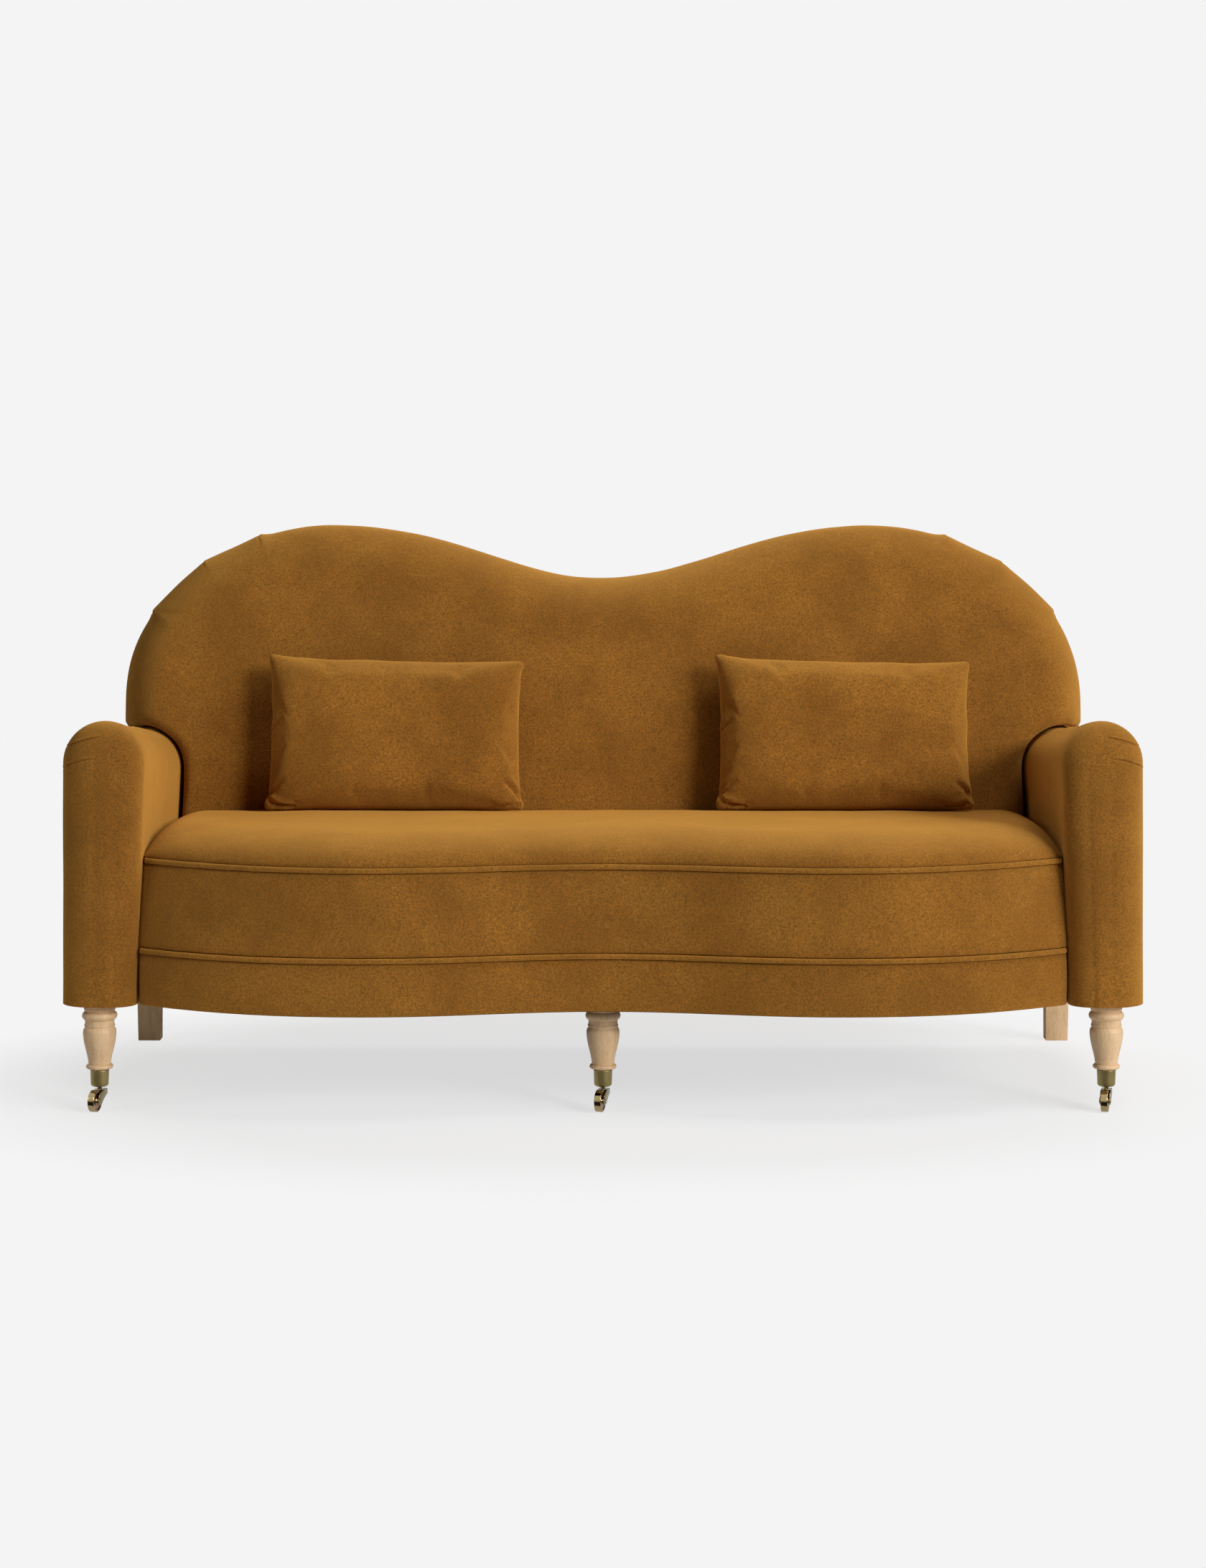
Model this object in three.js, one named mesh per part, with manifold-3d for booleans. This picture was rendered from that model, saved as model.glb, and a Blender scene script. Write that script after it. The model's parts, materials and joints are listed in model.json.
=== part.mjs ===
// Sofa with a double-arch back, a crowned bench seat with a serpentine front, slim
// round-topped arms, two lumbar pillows, three turned front legs on brass cup casters
// and two plain raked rear legs. Millimetres, +Z up, the front faces -Y.
// While it is built, y runs from the front of the seat's lobes towards the rear.
import * as THREE from 'three';
import { mergeVertices } from 'three/addons/utils/BufferGeometryUtils.js';
import Module from 'manifold-3d';

const wasm = await Module();
wasm.setup();

// Overall
const width = 2000;
const underside = 196; // floor to the foot of the upholstery
const gap = 0.3; // between pieces that touch

// Seat
const railHeight = 101; // foot of the cover to the lower welt
const bandHeight = 163; // lower welt to the upper welt
const seatDepth = 640; // front of the lobes to the face of the back
const lobeInset = 574; // side of the sofa to the front of a lobe
const waistDepth = 63; // how far the front draws back between the lobes
const cornerSetbackLow = 144; // how far the front falls back at the arms, below
const cornerSetbackHigh = 175; // and at the upper welt
const cornerPowerLow = 2.3;
const cornerPowerHigh = 2.06;
const crownRise = 58; // upper welt to the top of the crown
const crownWidth = 150; // how far in from the front the crown is reached
const crownRearFall = 16; // the crown's fall towards the back
const weltRadius = 5;
const weltSink = 1; // how far a welt's middle lies behind the face
const weltClearance = 1.6; // behind a welt in its groove
const railCoverThickness = 12;
const sideRollShare = 0.45; // the crown's width at the arms, of its width in front
const rearRollShare = 0.05; // and at the back
const crownMiddleShare = 0.53; // of the seat's depth, where the crown is highest

// Arms
const armWidth = 154;
const armLean = 14; // the inner face stands this much farther out at the foot
const armHeight = 521; // foot to the top of the arm, in front
const armFall = 54; // the arm's top comes down by this much at the rear
const armFallRun = 549; // arm's face to where its top is down, under the back
const armFront = 115; // face of the arm, behind the front of the lobes
const armOuterRadius = 66;
const armInnerRadius = 24;
const armNoseRadius = 60; // roll from the arm's face to its top
const armPadding = 22; // thickness of foam and cover round the arm's frame

// Back
const backHeight = 876; // foot of the cover to the top of the arches
const dipDepth = 108; // top of an arch to the bottom of the dip
const archSideInset = 453; // side of the sofa to the top of an arch
const shoulderSetback = 20; // the back's side inside the arm's outer face
const shoulderRise = 3; // tops of the arms to where the back is widest
const shoulderCorner = 14; // rounding at the foot of a shoulder
const backClearance = 2; // between the back and an arm
const backDepth = 275; // face of the back at the seat to the rear face at the foot
const rearRake = 25; // how far the rear face leans back over its height
const thickArm = 263; // back's thickness at the arms
const thickTop = 178; // near the top
const thickArmRise = 157; // seat level to where thickArm holds
const thickTopRise = 490; // seat level to where thickTop holds
const rimDepth = 92; // rear face to the back's outermost line
const rearRoll = 34; // rounding from the rim to the rear face
const frontRoll = 92; // rounding from the rim to the front face
const backFoot = 124; // foot of the cover to the underside of the back's padding
const panelThickness = 8; // outside back
const panelInset = 22;
const archPitch = 56; // between points along the arches
const dipHandleShare = 0.35; // the dip's curve handles, of archSpread
const archHandleShare = 0.55;

// Frame
const railThickness = 28;
const rearRailThickness = 52;
const curveClearance = 0.9; // between pieces that follow the curved front
const railTopSink = 7; // top of the rails below the lower welt
const centreRailWidth = 90;
const blockLeg = 70; // corner blocks' short sides
const blockSink = 14; // blocks' distance from the rails' edges
const backBoard = 30; // thickness of the back's frame
const archInset = 54; // back's outline to the arched rail
const archBand = 95; // height of the arched rail's band
const postWidth = 46;
const postInset = 197; // side of the sofa to the middle of a back post
const stileWidth = 60;
const linerHeight = 70; // lower rail of the back
const armBaseThickness = 34;
const armBoardThickness = 20;
const armPanelThickness = 22;
const armPanelSetback = 45; // arm's face to its front panel
const webbingThickness = 2.4;
const webbingWidth = 50;
const longStraps = 9;
const crossStraps = 4;
const clothThickness = 1.5;

// Legs
const legInset = 70; // side of the sofa to the middle of an outer leg
const legSetback = 163;
const boltRadius = 4;
const boltInLeg = 40;
const boltInFrame = 28;
const rearLegInset = 34; // side of the sofa to a rear leg's outer side
const rearLegWidth = 51;
const rearLegTaper = 5;
const rearLegDepth = 36;
const rearLegRake = 30;
const rearLegReach = 47; // rear face at the foot to the front of the leg's top

// Turned leg: radii and heights above the floor
const legNeck = 29.3;
const legBead = 32;
const legBeadHeight = 175;
const legBeadHalf = 6;
const legNeckRise = 9; // bead's middle to the plain neck
const legGroove = 27;
const legGrooveHeight = 161.5;
const legCollar = 28.2;
const legCollarHeight = 157;
const legFineGroove = 27.6;
const legFineGrooveHeight = 152.5;
const legShoulder = 30.6;
const legShoulderHeight = 144;
const legWaist = 21;
const legWaistHeight = 88;
const legFootBead = 24.6;
const legFootBeadHeight = 81;
const legFootHeight = 74.3;
const footBeadHalf = 0.6; // flat of the foot bead, either side of its middle
const taperShares = [0.75, 0.5, 0.25]; // from the shoulder down to the waist
const taperPower = 1.5; // nearly straight

// Caster
const cupRadius = 17.2;
const cupFootRadius = 16.4;
const cupWall = 2;
const cupTop = 74;
const cupFoot = 50; // where the cup's side turns under
const cupBottom = 43.5;
const cupFloor = 53; // inside of the cup
const cupTurnShares = [0.3, 0.6]; // middle of the turn under, inwards and down
const stemRadius = 4;
const stemTop = 51;
const stemClearance = 0.3;
const wheelRadius = 20;
const wheelWidth = 12.6;
const wheelClearance = 1.2; // between the wheel's rim or sides and the horn
const treadEaseShare = 0.4; // the tread's crown, of its eased edge
const trail = 22; // stem to axle
const cheekThickness = 2;
const hornTop = 38;
const heelReach = 14; // stem to the rear end of the horn
const heelFoot = 28.5;
const eyeRadius = 7;
const cheekReach = 11; // axle back to where the cheeks' lower edge turns level
const cheekBelly = 0.7; // fullness of that edge
const axleRadius = 2.5;
const axleHead = 4;
const axleHeadThickness = 1.2;
const axleClearance = 0.3;
const casterHeading = 15; // degrees from straight ahead, towards -X

// Pillows
const pillowWidth = 508;
const pillowHeight = 306;
const pillowThickness = 122;
const pillowLean = 13; // degrees
const pillowInsets = { left: 587, right: 522 }; // side of the sofa to a pillow's middle
const pillowTilts = { left: -1.6, right: -1.2 }; // degrees in the pillow's own plane
const pillowSideDraw = 0.03; // how far its sides draw in, of its half width
const pillowEdgeDraw = 0.055; // and its long edges, of its half height
const pillowPowers = { across: 3.2, up: 2.6, full: 0.55 }; // how square its section stays

// Finish
const velvet = new THREE.MeshStandardMaterial({ color: 0x8f5e26, roughness: 0.9 });
const piping = new THREE.MeshStandardMaterial({ color: 0x86561f, roughness: 0.85 });
const oak = new THREE.MeshStandardMaterial({ color: 0xd3b08a, roughness: 0.55 });
const pine = new THREE.MeshStandardMaterial({ color: 0xc9a873, roughness: 0.8 });
const brass = new THREE.MeshStandardMaterial({ color: 0x8a7440, roughness: 0.3, metalness: 1 });
const steel = new THREE.MeshStandardMaterial({ color: 0x9a9c9f, roughness: 0.4, metalness: 1 });
const jute = new THREE.MeshStandardMaterial({ color: 0xa08a62, roughness: 0.95 });
const lining = new THREE.MeshStandardMaterial({ color: 0x1c1b1a, roughness: 0.95 });

// Heights and widths that several pieces share
const lowerWelt = underside + railHeight;
const upperWelt = lowerWelt + bandHeight;
const legTop = underside - gap;
const railTop = lowerWelt - railTopSink;
const deck = railTop + gap + webbingThickness + gap;
const armHalf = armWidth / 2;
const armStraight = armHeight - armHalf; // foot to where the half-round starts
const armTop = underside + armHeight;
const seatHalfWidth = width / 2 - armWidth + armLean;
const archTop = underside + backHeight;
const shoulderLevel = armTop + shoulderRise;
const shoulderDrop = archTop - shoulderLevel;
const backHalfWidth = width / 2 - shoulderSetback;
const lobeSpread = width / 2 - lobeInset;
const archSpread = width / 2 - archSideInset;
const postPlace = width / 2 - postInset;
const legPlace = width / 2 - legInset;
const rearLegOuter = width / 2 - rearLegInset;
const pillowPlaces = { left: pillowInsets.left - width / 2, right: width / 2 - pillowInsets.right };
const armRearTop = armTop - armFall;
const seatLevel = upperWelt + crownRise - crownRearFall;
const rearSetback = seatDepth + backDepth; // behind the front of the lobes
const rearLegSetback = rearSetback - rearLegReach;
const thickSeat = rearFace(seatLevel) - seatDepth;
const overrun = 40; // how far cutting shapes run past what they cut

// Geometry helpers

// Merges shared corners, drops triangles without area and turns the faces outwards.
function clean(source) {
  const bare = source.clone();
  bare.deleteAttribute('normal');
  bare.deleteAttribute('uv');
  const merged = mergeVertices(bare, 1e-3);
  const corners = merged.index.array;
  const kept = [];
  for (let i = 0; i < corners.length; i += 3) {
    const [a, b, c] = [corners[i], corners[i + 1], corners[i + 2]];
    if (a !== b && b !== c && c !== a) kept.push(a, b, c);
  }
  merged.setIndex(kept);
  if (signedVolume(merged) < 0) {
    for (let i = 0; i < kept.length; i += 3) [kept[i], kept[i + 1]] = [kept[i + 1], kept[i]];
    merged.setIndex(kept);
  }
  return merged;
}

function signedVolume(geometry) {
  const place = geometry.attributes.position;
  const corners = geometry.index.array;
  const [a, b, c] = [new THREE.Vector3(), new THREE.Vector3(), new THREE.Vector3()];
  let volume = 0;
  for (let i = 0; i < corners.length; i += 3) {
    a.fromBufferAttribute(place, corners[i]);
    b.fromBufferAttribute(place, corners[i + 1]);
    c.fromBufferAttribute(place, corners[i + 2]);
    volume += a.dot(b.cross(c)) / 6;
  }
  return volume;
}

// A closed surface through loops of equal length, closed by a fan at each end.
function skin(loops, firstMiddle, lastMiddle) {
  const count = loops[0].length;
  const points = [firstMiddle, ...loops.flat(), lastMiddle];
  const corner = (loop, i) => 1 + loop * count + (i % count);
  const faces = [];
  for (let i = 0; i < count; i++) {
    faces.push(0, corner(0, i + 1), corner(0, i));
    for (let loop = 0; loop + 1 < loops.length; loop++) {
      const [a, b] = [corner(loop, i), corner(loop, i + 1)];
      const [c, d] = [corner(loop + 1, i + 1), corner(loop + 1, i)];
      faces.push(a, b, c, a, c, d);
    }
    faces.push(points.length - 1, corner(loops.length - 1, i), corner(loops.length - 1, i + 1));
  }
  const geometry = new THREE.BufferGeometry().setFromPoints(points);
  geometry.setIndex(faces);
  return clean(geometry);
}

function middleOf(loop) {
  const sum = new THREE.Vector3();
  loop.forEach((point) => sum.add(point));
  return sum.divideScalar(loop.length);
}

function toSolid(geometry) {
  const tidy = clean(geometry);
  return new wasm.Manifold(
    new wasm.Mesh({
      numProp: 3,
      vertProperties: new Float32Array(tidy.attributes.position.array),
      triVerts: new Uint32Array(tidy.index.array),
    }),
  );
}

function fromSolid(solid) {
  const mesh = solid.getMesh();
  const geometry = new THREE.BufferGeometry();
  geometry.setAttribute('position', new THREE.BufferAttribute(mesh.vertProperties, 3));
  geometry.setIndex([...mesh.triVerts]);
  return geometry;
}

function cut(body, ...tools) {
  return fromSolid(tools.reduce((solid, tool) => solid.subtract(toSolid(tool)), toSolid(body)));
}

function join(...bodies) {
  return fromSolid(bodies.map(toSolid).reduce((all, next) => all.add(next)));
}

function box(low, high) {
  const size = new THREE.Vector3().subVectors(high, low);
  const geometry = new THREE.BoxGeometry(size.x, size.y, size.z);
  return geometry.translate(low.x + size.x / 2, low.y + size.y / 2, low.z + size.z / 2);
}

const at = (x, y, z) => new THREE.Vector3(x, y, z);

// A flat shape drawn in plan, standing from one height to another.
function plate(shape, bottom, top, curveSegments = 12) {
  const geometry = new THREE.ExtrudeGeometry(shape, {
    depth: top - bottom,
    bevelEnabled: false,
    curveSegments,
  });
  return geometry.translate(0, 0, bottom);
}

// A rod with a vertical axis.
function rod(radius, bottom, top, sides = 12) {
  const geometry = new THREE.CylinderGeometry(radius, radius, top - bottom, sides);
  return geometry.rotateX(Math.PI / 2).translate(0, 0, (top + bottom) / 2);
}

// A turned piece with a vertical axis, from [radius, height] pairs that start and end on it.
function turned(profile, sides) {
  const points = profile.map(([radius, height]) => new THREE.Vector2(radius, height));
  return new THREE.LatheGeometry(points, sides).rotateX(Math.PI / 2);
}

function mirrored(geometry) {
  return clean(geometry.clone().scale(-1, 1, 1));
}

// Each point of a closed loop moved inwards by its own distance, with mitred corners. The
// loop runs anticlockwise in the plane of the two named coordinates.
function inset(loop, distances, across, up) {
  const sharpestShare = 0.6;
  const normal = (from, to) => {
    const run = to[across] - from[across];
    const rise = to[up] - from[up];
    const length = Math.hypot(run, rise);
    return new THREE.Vector2(-rise / length, run / length);
  };
  return loop.map((point, i) => {
    const before = normal(loop[(i + loop.length - 1) % loop.length], point);
    const after = normal(point, loop[(i + 1) % loop.length]);
    const reach = distances[i] / Math.max(1 + before.dot(after), sharpestShare);
    const moved = point.clone();
    moved[across] += (before.x + after.x) * reach;
    moved[up] += (before.y + after.y) * reach;
    return moved;
  });
}

// Shared forms

// Plan curve of the front: the lower curve at the foot, blending to the upper one at the
// upper welt.
function frontEdge(x, height) {
  const across = Math.abs(x);
  const proud = weltRadius - weltSink;
  if (across <= lobeSpread) {
    return proud + (waistDepth / 2) * (1 + Math.cos((Math.PI * across) / lobeSpread));
  }
  const turn = (across - lobeSpread) / (seatHalfWidth - lobeSpread);
  const low = cornerSetbackLow * turn ** cornerPowerLow;
  const high = cornerSetbackHigh * turn ** cornerPowerHigh;
  const share = THREE.MathUtils.clamp((height - lowerWelt) / bandHeight, 0, 1);
  return proud + low + (high - low) * share;
}

// The front's plan curve moved back along its normal, as points from left to right.
function frontPoints(halfWidth, height, depth, count) {
  const step = gap;
  return Array.from({ length: count + 1 }, (_, i) => {
    const x = -halfWidth + (2 * halfWidth * i) / count;
    const slope = (frontEdge(x + step, height) - frontEdge(x - step, height)) / (2 * step);
    const length = Math.hypot(1, slope);
    return new THREE.Vector2(x - (slope / length) * depth, frontEdge(x, height) + depth / length);
  });
}

// Where the front's plan curve, moved back by depth, stands at x.
function frontBehind(x, height, depth) {
  const fineCount = 200;
  const points = frontPoints(seatHalfWidth + depth, height, depth, fineCount);
  const next = points.findIndex((point) => point.x >= x);
  const [a, b] = [points[Math.max(next - 1, 0)], points[next < 0 ? points.length - 1 : next]];
  const share = b.x === a.x ? 0 : (x - a.x) / (b.x - a.x);
  return a.y + (b.y - a.y) * share;
}

// The arm's inner face at a height.
function armInner(height) {
  const share = THREE.MathUtils.clamp((height - underside) / armStraight, 0, 1);
  return width / 2 - armWidth + armLean * (1 - share);
}

// The rear face of the sofa at a height.
function rearFace(height) {
  return rearSetback + (rearRake * (height - underside)) / backHeight;
}

// Thickness of the back: a smooth curve through three stated thicknesses.
function backThickness(height) {
  const rise = Math.max(height - seatLevel, 0);
  const first = (thickArm - thickSeat) / thickArmRise;
  const second = (thickTop - thickArm) / (thickTopRise - thickArmRise);
  return thickSeat + first * rise + ((second - first) / thickTopRise) * rise * (rise - thickArmRise);
}

// The front face of the back at a height.
function backFace(height) {
  return rearFace(height) - backThickness(height);
}

// Top of the seat's crown.
function seatTop(y) {
  const middle = seatDepth * crownMiddleShare;
  const past = Math.max(y - middle, 0) / (seatDepth - middle);
  return upperWelt + crownRise - crownRearFall * past ** 2;
}

// Seat, its welts and the front rail's cover

const frontCount = 34;
const crownShares = [0.03, 0.12, 0.3, 0.6, 1]; // of the crown's width, from the welt inwards
const flatShares = [0.34, 0.68]; // from the crown's edge to the seat's middle

// The front's plan curve at x, moved back by a distance measured along its normal.
function frontBack(x, height, distance) {
  const slope = (frontEdge(x + gap, height) - frontEdge(x - gap, height)) / (2 * gap);
  return frontEdge(x, height) + distance * Math.hypot(1, slope);
}

// A level loop round the seat, drawn in from its outline by a distance in front, and by a
// share of it at the arms and at the back.
function seatLoop(height, distance) {
  const halfWidth = armInner(height) - gap - sideRollShare * distance;
  const rear = backFace(height) - 2 * gap - rearRollShare * distance;
  const sideSteps = 5;
  const rearSteps = 14;
  const loop = [];
  for (let i = 0; i <= frontCount; i++) {
    const x = -halfWidth + (2 * halfWidth * i) / frontCount;
    loop.push(at(x, frontBack(x, height, distance), height));
  }
  const corner = loop[frontCount].y;
  for (let i = 1; i < sideSteps; i++) {
    loop.push(at(halfWidth, corner + ((rear - corner) * i) / sideSteps, height));
  }
  for (let i = 0; i <= rearSteps; i++) {
    loop.push(at(halfWidth - (2 * halfWidth * i) / rearSteps, rear, height));
  }
  for (let i = sideSteps - 1; i > 0; i--) {
    loop.push(at(-halfWidth, corner + ((rear - corner) * i) / sideSteps, height));
  }
  return loop;
}

function seatPad() {
  const grooveDepth = weltSink + weltRadius + weltClearance;
  const grooveHalf = weltRadius + gap;
  const footInset = grooveDepth + weltRadius;
  const crowned = (distance) => {
    const turn = 1 - distance / crownWidth;
    const lift = Math.sqrt(1 - turn * turn);
    return seatLoop(upperWelt + grooveHalf, distance).map((point) => {
      const top = upperWelt + (seatTop(point.y) - upperWelt) * lift;
      return point.setZ(Math.max(top, upperWelt + grooveHalf));
    });
  };
  const middle = at(0, seatDepth / 2, deck);
  const full = crowned(crownWidth);
  const inward = (share) =>
    full.map((point) => {
      const moved = point.clone().lerp(at(0, middle.y, point.z), share);
      return moved.setZ(seatTop(moved.y));
    });
  const loops = [
    seatLoop(deck, footInset),
    seatLoop(deck, grooveDepth),
    seatLoop(lowerWelt + grooveHalf, grooveDepth),
    seatLoop(lowerWelt + grooveHalf, 0),
    seatLoop((lowerWelt + upperWelt) / 2, 0),
    seatLoop(upperWelt - grooveHalf, 0),
    seatLoop(upperWelt - grooveHalf, grooveDepth),
    seatLoop(upperWelt + grooveHalf, grooveDepth),
    ...crownShares.map((share) => crowned(share * crownWidth)),
    ...flatShares.map(inward),
  ];
  return skin(loops, middle, at(0, middle.y, seatTop(middle.y)));
}

function welt(height) {
  const halfWidth = armInner(height) - weltRadius - 2 * gap;
  const shape = new THREE.Shape().absarc(0, 0, weltRadius, 0, 2 * Math.PI);
  const path = new THREE.CatmullRomCurve3(
    frontPoints(halfWidth, height, weltSink, frontCount).map((p) => at(p.x, p.y, height)),
  );
  return new THREE.ExtrudeGeometry(shape, {
    steps: frontCount,
    extrudePath: path,
    curveSegments: 4,
  });
}

// A strip in plan that follows the front between two depths behind its face.
function frontStrip(halfWidth, near, far, bottom, top) {
  const outer = frontPoints(halfWidth, bottom, near, frontCount);
  const inner = frontPoints(halfWidth, bottom, far, frontCount).reverse();
  return plate(new THREE.Shape([...outer, ...inner]), bottom, top);
}

function railCover() {
  const top = lowerWelt - weltRadius - gap;
  return frontStrip(armInner(top) - gap, 0, railCoverThickness, underside, top);
}

// Seat frame

const sideRailOuter = armInner(railTop) - gap;
const sideRailInner = sideRailOuter - railThickness;
const rearRailRear = rearFace(underside) - panelThickness - 2 * gap;
const rearRailFront = rearRailRear - rearRailThickness;
const frameFront = railCoverThickness + curveClearance; // behind the face of the front

function frontRail() {
  return frontStrip(sideRailInner - gap, frameFront, frameFront + railThickness, underside, railTop);
}

function sideRail() {
  const shape = new THREE.Shape([
    new THREE.Vector2(sideRailInner, frontBehind(sideRailInner, underside, frameFront)),
    new THREE.Vector2(sideRailOuter, frontBehind(sideRailOuter, underside, frameFront)),
    new THREE.Vector2(sideRailOuter, rearRailFront - gap),
    new THREE.Vector2(sideRailInner, rearRailFront - gap),
  ]);
  return plate(shape, underside, railTop);
}

function rearRail() {
  return box(at(-sideRailOuter, rearRailFront, underside), at(sideRailOuter, rearRailRear, railTop));
}

function centreRail() {
  const half = centreRailWidth / 2;
  const front = frontBehind(0, underside, frameFront + railThickness) + gap;
  const beam = box(at(-half, front, underside), at(half, rearRailFront - gap, railTop));
  const hole = rod(boltRadius + gap, underside - overrun, railTop + overrun);
  return cut(beam, hole.translate(0, legSetback, 0));
}

function cornerBlock(atFront) {
  const x = sideRailInner - gap;
  const reach = x - blockLeg;
  let points;
  if (atFront) {
    const behind = frameFront + railThickness + 2 * gap;
    const near = frontBehind(x, underside, behind) + gap;
    points = [
      [x, near],
      [x, near + blockLeg],
      [reach, frontBehind(reach, underside, behind) + gap],
    ];
  } else {
    const y = rearRailFront - gap;
    points = [
      [x, y],
      [reach, y],
      [x, y - blockLeg],
    ];
  }
  const shape = new THREE.Shape(points.map(([px, py]) => new THREE.Vector2(px, py)));
  return plate(shape, underside + blockSink, railTop - blockSink);
}

// Straps run from the front rail to the rear one, crossed by others that end on the side
// rails. They are stitched where they cross, so the net is one piece.
function seatWebbing() {
  const [bottom, top] = [railTop + gap, railTop + gap + webbingThickness];
  const reach = sideRailOuter - railThickness / 2;
  const rear = rearFace(railTop) - frameFar - 2 * gap;
  const pitch = (2 * (sideRailInner - webbingWidth)) / (longStraps - 1);
  const pieces = [];
  for (let i = 0; i < longStraps; i++) {
    const x = (i - (longStraps - 1) / 2) * pitch;
    const outer = Math.abs(x) + webbingWidth / 2;
    const front = frontBehind(Math.min(outer, sideRailInner), underside, frameFront + railThickness / 2);
    const low = Math.max(front, frontBehind(Math.abs(x), underside, frameFront + railThickness / 2));
    pieces.push(box(at(x - webbingWidth / 2, low, bottom), at(x + webbingWidth / 2, rear, top)));
  }
  const first = frontBehind(sideRailInner, underside, frameFront + 2 * railThickness);
  for (let i = 0; i < crossStraps; i++) {
    const y = first + ((rearRailFront - webbingWidth - first) * i) / (crossStraps - 1);
    pieces.push(box(at(-reach, y, bottom), at(reach, y + webbingWidth, top)));
  }
  return join(...pieces);
}

function dustCover() {
  const halfWidth = sideRailOuter - railCoverThickness;
  const front = frontPoints(halfWidth, underside, frameFront + gap, frontCount);
  const rear = rearRailRear - rearRailThickness / 2;
  const outline = [...front, new THREE.Vector2(halfWidth, rear), new THREE.Vector2(-halfWidth, rear)];
  const shape = new THREE.Shape(outline);
  shape.holes.push(new THREE.Path().absarc(0, legSetback, legNeck + 2 * gap, 0, 2 * Math.PI, true));
  return plate(shape, legTop - clothThickness, legTop);
}

// Arms

const noseShares = [0, 0.03, 0.12, 0.3, 0.6, 1]; // stations over the arm's rounded front
const fallShares = [0.5, 1]; // stations down the slope behind it

// A solid of the arm's form. grow moves its sides, top and face outwards, or inwards when
// it is less than zero; foot is its underside, and past runs it on beyond its rear end.
function armForm({ grow = 0, foot = underside, past = 0 } = {}) {
  const outerRadius = armOuterRadius + grow;
  const innerRadius = Math.max(armInnerRadius + grow, gap);
  const noseRadius = armNoseRadius + grow;
  const face = armFront - grow;
  const round = (radius, s) => (s >= radius ? radius : Math.sqrt(radius ** 2 - (radius - s) ** 2));
  const roundSteps = 10;
  const section = (s, fall, rear) => {
    const outer = width / 2 + grow - outerRadius + round(outerRadius, s);
    const pull = innerRadius - round(innerRadius, s);
    const top = armTop + grow - fall - noseRadius + round(noseRadius, s);
    const inner = (height) => armInner(height) - grow + pull;
    const innerTop = inner(top - armHalf - grow);
    const half = (outer - innerTop) / 2;
    const middle = (outer + innerTop) / 2;
    const waist = (foot + top - half) / 2;
    const place = (x, z) => at(x, rear ? rearFace(z) - panelThickness - gap + past : face + s, z);
    const points = [place(inner(foot), foot), place(inner(waist), waist)];
    for (let i = 0; i <= roundSteps; i++) {
      const turn = Math.PI * (1 - i / roundSteps);
      points.push(place(middle + half * Math.cos(turn), top - half + half * Math.sin(turn)));
    }
    points.push(place(outer, waist));
    points.push(place(outer, foot));
    return points;
  };
  const stations = noseShares.map((share) => share * outerRadius);
  const runLength = rearFace(armRearTop) - armFront;
  const loops = stations.map((s) => section(s, 0, false));
  for (const share of fallShares) {
    const s = outerRadius + (armFallRun - outerRadius) * share;
    loops.push(section(s, armFall * share, false));
  }
  loops.push(section(runLength, armFall, true));
  return skin(loops, middleOf(loops[0]), middleOf(loops[loops.length - 1]));
}

function armPad() {
  return cut(armForm(), armForm({ grow: -armPadding, foot: underside - overrun, past: overrun }));
}

const cavityInner = armInner(underside) + armPadding + gap;
const cavityOuter = width / 2 - armPadding - gap;
const armFrameRear = rearRailRear - gap;
const armBaseTop = underside + armBaseThickness;
const armPanelFront = armFront + armPanelSetback;
const armPanelRear = armPanelFront + armPanelThickness;
const armRearSpring = armRearTop - armHalf; // where the half-round starts at the rear

function armBase() {
  const front = armFront + armPadding + curveClearance;
  const radius = armOuterRadius;
  const shape = new THREE.Shape();
  shape.moveTo(cavityInner, front);
  shape.lineTo(cavityOuter - radius, front);
  shape.absarc(cavityOuter - radius, front + radius, radius, -Math.PI / 2, 0);
  shape.lineTo(cavityOuter, armFrameRear);
  shape.lineTo(cavityInner, armFrameRear);
  for (const [x, y] of [[legPlace, legSetback], [rearLegMiddle, rearBoltSetback]]) {
    shape.holes.push(new THREE.Path().absarc(x, y, boltRadius + gap, 0, 2 * Math.PI, true));
  }
  return plate(shape, underside, armBaseTop, 6);
}

const rearLegMiddle = rearLegOuter - rearLegWidth / 2;
const rearBoltSetback = rearLegSetback + rearLegDepth / 2;

// A board across the arm with the arm's own arched outline.
function armFrontPanel() {
  const inner = cavityInner;
  const outer = cavityOuter - armInnerRadius / 2;
  const radius = (outer - inner) / 2;
  const spring = armTop - armPadding - armInnerRadius / 2 - radius;
  const shape = new THREE.Shape();
  shape.moveTo(inner, armBaseTop + gap);
  shape.lineTo(outer, armBaseTop + gap);
  shape.lineTo(outer, spring);
  shape.absarc(inner + radius, spring, radius, 0, Math.PI);
  const board = new THREE.ExtrudeGeometry(shape, {
    depth: armPanelThickness,
    bevelEnabled: false,
    curveSegments: 10,
  });
  return board.rotateX(Math.PI / 2).translate(0, armPanelRear, 0);
}

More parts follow.
